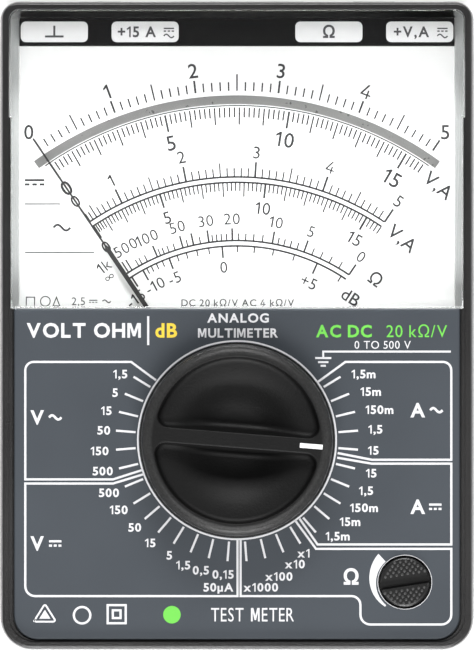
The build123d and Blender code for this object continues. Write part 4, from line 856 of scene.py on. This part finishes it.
inside = add_node(stud_tree, "FunctionNodeCompare", {0: reach, 1: given["Disc Radius"]},
                  operation="LESS_THAN").outputs[0]
across = add_node(stud_tree, "ShaderNodeSeparateXYZ", {0: spot}).outputs["Y"]
off_line = reckon(stud_tree, "ABSOLUTE", across)
clear = add_node(stud_tree, "FunctionNodeCompare", {0: off_line, 1: given["Slot Half Width"]},
                 operation="GREATER_THAN").outputs[0]
kept = add_node(stud_tree, "FunctionNodeBooleanMath", {0: staggered, 1: inside}, operation="AND").outputs[0]
kept = add_node(stud_tree, "FunctionNodeBooleanMath", {0: kept, 1: clear}, operation="AND").outputs[0]
stud = add_node(stud_tree, "GeometryNodeMeshCone",
                {"Vertices": 8, "Radius Top": 0.08, "Radius Bottom": given["Stud Radius"],
                 "Depth": given["Stud Height"]}, fill_type="NGON").outputs["Mesh"]
placed = add_node(stud_tree, "GeometryNodeInstanceOnPoints",
                  {"Points": grid, "Selection": kept, "Instance": stud}).outputs["Instances"]
facing = add_node(stud_tree, "ShaderNodeCombineXYZ", {"Z": given["Turn"]}).outputs["Vector"]
laid = add_node(stud_tree, "GeometryNodeTransform",
                {"Geometry": placed, "Translation": given["Centre"], "Rotation": facing}).outputs["Geometry"]
stud_tree.links.new(mended(stud_tree, laid, given["Material"]), result["Geometry"])

stud_black = moulded("adjuster_black", linear(22, 22, 22), 0.3, 3000.0, 0.2, 0.01)
# the wheel's own plastic in a lighter grey: a painted highlight on the studs' points
stud_painted_highlight = moulded("stud_painted_highlight", linear(70, 70, 70), 0.3, 3000.0, 0.2, 0.01)
knob_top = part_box("ohm_knob")[1].z / MM
SLOT_ANGLE = 8.8
STUD_SUNK = 0.05
studs = grown("studs", stud_tree, {"Columns": 20, "Rows": 18, "Column Pitch": 0.52,
                                  "Row Pitch": 0.58, "Disc Radius": 4.45, "Stud Radius": 0.32,
                                  "Stud Height": 0.3, "Turn": math.radians(SLOT_ANGLE),
                                  "Centre": (*adjuster, knob_top - STUD_SUNK)})
studs.transform(Matrix.Scale(MM, 4))
place_mesh("ohm_knob_studs", studs, stud_painted_highlight, "ohm_adjuster")
coat("ohm_knob", stud_black)

# ---- Movement ----
# A core magnet stands inside a soft iron ring, and a coil of enamelled wire on an aluminium former
# swings between them on two taut bands. It carries the black lacquered aluminium pointer.

metal_group, given, result = new_group(
    "worked_metal", "ShaderNodeTree",
    [("Colour", "Color", None), ("Roughness", "Float", 0.3), ("Scratch Scale", "Float", 1500.0),
     ("Tarnish", "Float", 0.1)],
    [("Colour", "Color"), ("Roughness", "Float"), ("Height", "Float")],
)
place = add_node(metal_group, "ShaderNodeTexCoord").outputs["Object"]
stretched = add_node(metal_group, "ShaderNodeMapping", {"Vector": place, "Scale": (1.0, 1.0, 0.12)})
inputs = {"Vector": stretched.outputs["Vector"], "Scale": given["Scratch Scale"], "Detail": 3.0}
scratch = add_node(metal_group, "ShaderNodeTexNoise", inputs).outputs["Fac"]
stain = object_noise(metal_group, 160.0, 3.0)
low_tone = reckon(metal_group, "SUBTRACT", 1.0, given["Tarnish"])
tone = noise_between(metal_group, stain, low_tone, 1.0)
rub = noise_between(metal_group, scratch, -0.06, 0.08)
rough = reckon(metal_group, "ADD", given["Roughness"], rub)
metal_group.links.new(tinted(metal_group, given["Colour"], tone), result["Colour"])
metal_group.links.new(rough, result["Roughness"])
metal_group.links.new(scratch, result["Height"])


def metal(name, colour, roughness, scale=1500.0, tarnish=0.1, depth=0.004):
    """A worked metal, drawn or turned along its height."""
    material, tree, shader = new_material(name)
    shader.inputs["Metallic"].default_value = 1.0
    values = {"Colour": colour, "Roughness": roughness, "Scratch Scale": scale, "Tarnish": tarnish}
    finish_from(tree, shader, metal_group, values, depth * MM)
    return material


dress("pointer_black", lacquered("pointer_black", (0.012, 0.012, 0.012, 1), 0.5, 0.1))
dress("aluminium", metal("aluminium", (0.72, 0.72, 0.73, 1), 0.32))
dress("soft_iron", metal("soft_iron", (0.42, 0.42, 0.43, 1), 0.38, 900.0, 0.2))
dress("magnet", metal("magnet", (0.24, 0.24, 0.26, 1), 0.55, 500.0, 0.3, 0.01))
dress("frame_plastic", moulded("frame_plastic", linear(205, 198, 180), 0.5, 1800.0, 0.06))

# the winding: enamelled wire laid side by side round the former
copper_wire, tree, shader = new_material("copper_wire")
shader.inputs["Metallic"].default_value = 1.0
shader.inputs["Coat Weight"].default_value = 0.6
shader.inputs["Coat Roughness"].default_value = 0.15
place = add_node(tree, "ShaderNodeTexCoord").outputs["Object"]
across = (0.0, 0.0, math.radians(-ZERO_ANGLE))
turned = add_node(tree, "ShaderNodeMapping", {"Vector": place, "Rotation": across}).outputs["Vector"]
inputs = {"Vector": turned, "Scale": 1300.0, "Distortion": 0.4, "Detail": 1.0}
strands = add_node(tree, "ShaderNodeTexWave", inputs, bands_direction="X").outputs["Fac"]


def mixed(tree, factor, first, second):
    """One colour or another by a mask."""
    made = add_node(tree, "ShaderNodeMix", {0: factor, 6: first, 7: second}, data_type="RGBA")
    return made.outputs[2]


enamel = mixed(tree, strands, (0.2, 0.05, 0.02, 1), (0.78, 0.28, 0.12, 1))
tree.links.new(enamel, shader.inputs["Base Color"])
wire_rub = map_range(tree, strands, 0.0, 1.0, 0.5, 0.25)
tree.links.new(wire_rub, shader.inputs["Roughness"])
bump = add_node(tree, "ShaderNodeBump", {"Height": strands, "Distance": 0.04 * MM})
tree.links.new(bump.outputs["Normal"], shader.inputs["Normal"])

# ---- Circuit boards and their parts ----
# Two glass fibre laminates with a green solder mask. The mask lies over etched tracks, which stand
# out as lighter lines, and the resistors, trimmers, fuses and the shunt are soldered to the lower one.

board_green, tree, shader = new_material("board_green")
shader.inputs["Coat Weight"].default_value = 0.3
place = add_node(tree, "ShaderNodeTexCoord").outputs["Object"]
cells = {"Vector": place, "Scale": 190.0, "Randomness": 0.55}
second, nearest = [add_node(tree, "ShaderNodeTexVoronoi", cells, distance="MANHATTAN", feature=rank)
                   for rank in ("F2", "F1")]
gap = reckon(tree, "SUBTRACT", second.outputs["Distance"], nearest.outputs["Distance"])
track = map_range(tree, gap, 0.10, 0.16, 1.0, 0.0)
weave = object_noise(tree, 2600.0, 1.0)
cloth = noise_between(tree, weave, 0.9, 1.1)
mask_green = mixed(tree, track, (0.006, 0.075, 0.03, 1), (0.02, 0.17, 0.06, 1))
tree.links.new(tinted(tree, mask_green, cloth), shader.inputs["Base Color"])
tree.links.new(noise_between(tree, weave, 0.28, 0.4), shader.inputs["Roughness"])
bump = add_node(tree, "ShaderNodeBump", {"Height": track, "Distance": 0.035 * MM})
tree.links.new(bump.outputs["Normal"], shader.inputs["Normal"])
dress("board_green", board_green)

dress("gold_track", metal("gold_track", (0.86, 0.62, 0.25, 1), 0.25, 2500.0, 0.12, 0.002))
dress("copper", metal("copper", (0.8, 0.36, 0.2, 1), 0.35, 1500.0, 0.25))
coat("coil_winding", copper_wire)
dress("trimmer_blue", moulded("trimmer_blue", linear(40, 86, 160), 0.35, 2500.0, 0.05, 0.004))
dress("capacitor_black", lacquered("capacitor_sleeve", (0.02, 0.022, 0.03, 1), 0.25, 0.2))

fuse_glass, tree, shader = new_material("fuse_glass")
shader.inputs["Base Color"].default_value = (0.93, 0.97, 0.95, 1)
shader.inputs["Roughness"].default_value = 0.03
shader.inputs["Transmission Weight"].default_value = 1.0
dress("fuse_glass", fuse_glass)

dress("resistor_blue", lacquered("resistor_lacquer", (0.11, 0.3, 0.42, 1), 0.35, 0.15))

# ---- Sockets, fasteners and battery ----
# Nickel plated brass sleeves in black shrouds take 4 mm plugs. Zinc plated screws hold the shells
# and the boards, and one AA cell with a printed jacket lies under a cover in the back.

dress("nickel", metal("nickel", (0.7, 0.68, 0.64, 1), 0.22, 1200.0, 0.08))
dress("brass", metal("brass", (0.78, 0.58, 0.27, 1), 0.3, 1300.0, 0.15))
dress("steel", metal("zinc_plated_steel", (0.6, 0.61, 0.62, 1), 0.34, 1100.0, 0.15))
dress("rubber", moulded("rubber", linear(32, 32, 32), 0.8, 1500.0, 0.2, 0.02, 0.25))

cell_jacket, tree, shader = new_material("cell_jacket")
place = add_node(tree, "ShaderNodeTexCoord").outputs["Object"]
along = add_node(tree, "ShaderNodeSeparateXYZ", {0: place}).outputs["X"]
COLLAR_START = 14.0 * MM
collar = reckon(tree, "GREATER_THAN", along, COLLAR_START)
foil = object_noise(tree, 300.0, 3.0)
jacket = mixed(tree, collar, (0.03, 0.03, 0.035, 1), (0.62, 0.28, 0.07, 1))
tree.links.new(tinted(tree, jacket, noise_between(tree, foil, 0.9, 1.05)), shader.inputs["Base Color"])
tree.links.new(noise_between(tree, foil, 0.2, 0.34), shader.inputs["Roughness"])
dress("cell_jacket", cell_jacket)

# ---- Floor, lights and camera ----
# The meter lies on a pale, matt table under soft light from all round, strongest from its lower
# end, and is seen from straight above through a long lens.

# the table lies just clear of the base, and lets light under it through to the back of the meter
FLOOR_HALF = 2.5
FLOOR_Z = -0.03 * MM
CONTACT_REACH = 1.5 * MM
table_top, tree, shader = new_material("table_top")
paper = object_noise(tree, 220.0, 4.0)
pale = tinted(tree, (0.92, 0.92, 0.92), noise_between(tree, paper, 0.98, 1.0))
tree.links.new(pale, shader.inputs["Base Color"])
shader.inputs["Roughness"].default_value = 0.85
unseen = add_node(tree, "ShaderNodeBsdfTransparent")
back_face = add_node(tree, "ShaderNodeNewGeometry").outputs["Backfacing"]
ray_length = add_node(tree, "ShaderNodeLightPath").outputs["Ray Length"]
touching = reckon(tree, "LESS_THAN", ray_length, CONTACT_REACH)
open_side = reckon(tree, "MAXIMUM", back_face, touching)
one_sided = add_node(tree, "ShaderNodeMixShader",
                     {"Fac": open_side, 1: shader.outputs["BSDF"], 2: unseen.outputs["BSDF"]})
tree.links.new(one_sided.outputs["Shader"], tree.nodes["Material Output"].inputs["Surface"])
floor_mesh = bpy.data.meshes.new("floor")
corners = [(x * FLOOR_HALF, y * FLOOR_HALF, FLOOR_Z) for x, y in ((-1, -1), (1, -1), (1, 1), (-1, 1))]
floor_mesh.from_pydata(corners, [], [(0, 1, 2, 3)])
floor_mesh.materials.append(table_top)
floor = bpy.data.objects.new("floor", floor_mesh)
bpy.context.scene.collection.objects.link(floor)


def softbox(name, place, size, power):
    """A softbox that faces the middle of the object, in metres and watts."""
    lamp = bpy.data.lights.new(name, "AREA")
    lamp.shape = "RECTANGLE"
    lamp.size, lamp.size_y = size
    lamp.energy = power
    box = bpy.data.objects.new(name, lamp)
    box.location = place
    box.rotation_euler = Vector(place).to_track_quat("Z", "Y").to_euler()
    bpy.context.scene.collection.objects.link(box)


softbox("box_overhead", (0.0, -0.5, 0.85), (0.6, 0.4), 6.5)
softbox("box_lower_end", (0.0, -0.95, 0.3), (0.6, 0.2), 10.0)
softbox("box_upper_end", (0.0, 0.75, 0.55), (0.5, 0.3), 8.5)
softbox("box_left", (-0.75, 0.0, 0.55), (0.3, 0.5), 0.5)
softbox("box_right", (0.75, 0.0, 0.55), (0.3, 0.5), 1.1)

# the room round the table is brighter near the horizon than overhead, and brightest from below,
# so that the back shows when the meter is looked at from underneath
world = bpy.data.worlds.new("studio")
bpy.context.scene.world = world
world.use_nodes = True
room = world.node_tree
way = add_node(room, "ShaderNodeSeparateXYZ", {0: add_node(room, "ShaderNodeTexCoord").outputs["Generated"]})
glow = map_range(room, way.outputs["Z"], 0.15, 0.95, 0.5, 0.08)
below = map_range(room, way.outputs["Z"], -0.2, 0.0, 1.6, 0.0)
glow = reckon(room, "ADD", glow, below)
room.links.new(glow, room.nodes["Background"].inputs["Strength"])
room.nodes["Background"].inputs["Color"].default_value = (1, 1, 1, 1)
bpy.context.scene.view_settings.view_transform = "Standard"

CAMERA_DISTANCE = 4.0
FRAME_HEIGHT = 0.12604
lens = bpy.data.cameras.new("camera")
lens.sensor_width = 36.0
lens.lens = lens.sensor_width * CAMERA_DISTANCE / FRAME_HEIGHT
lens.clip_start, lens.clip_end = 0.5, 8.0
camera = bpy.data.objects.new("camera", lens)
camera.location = (0.0, 0.0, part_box("front_case")[1].z + CAMERA_DISTANCE)
bpy.context.scene.collection.objects.link(camera)
bpy.context.scene.camera = camera
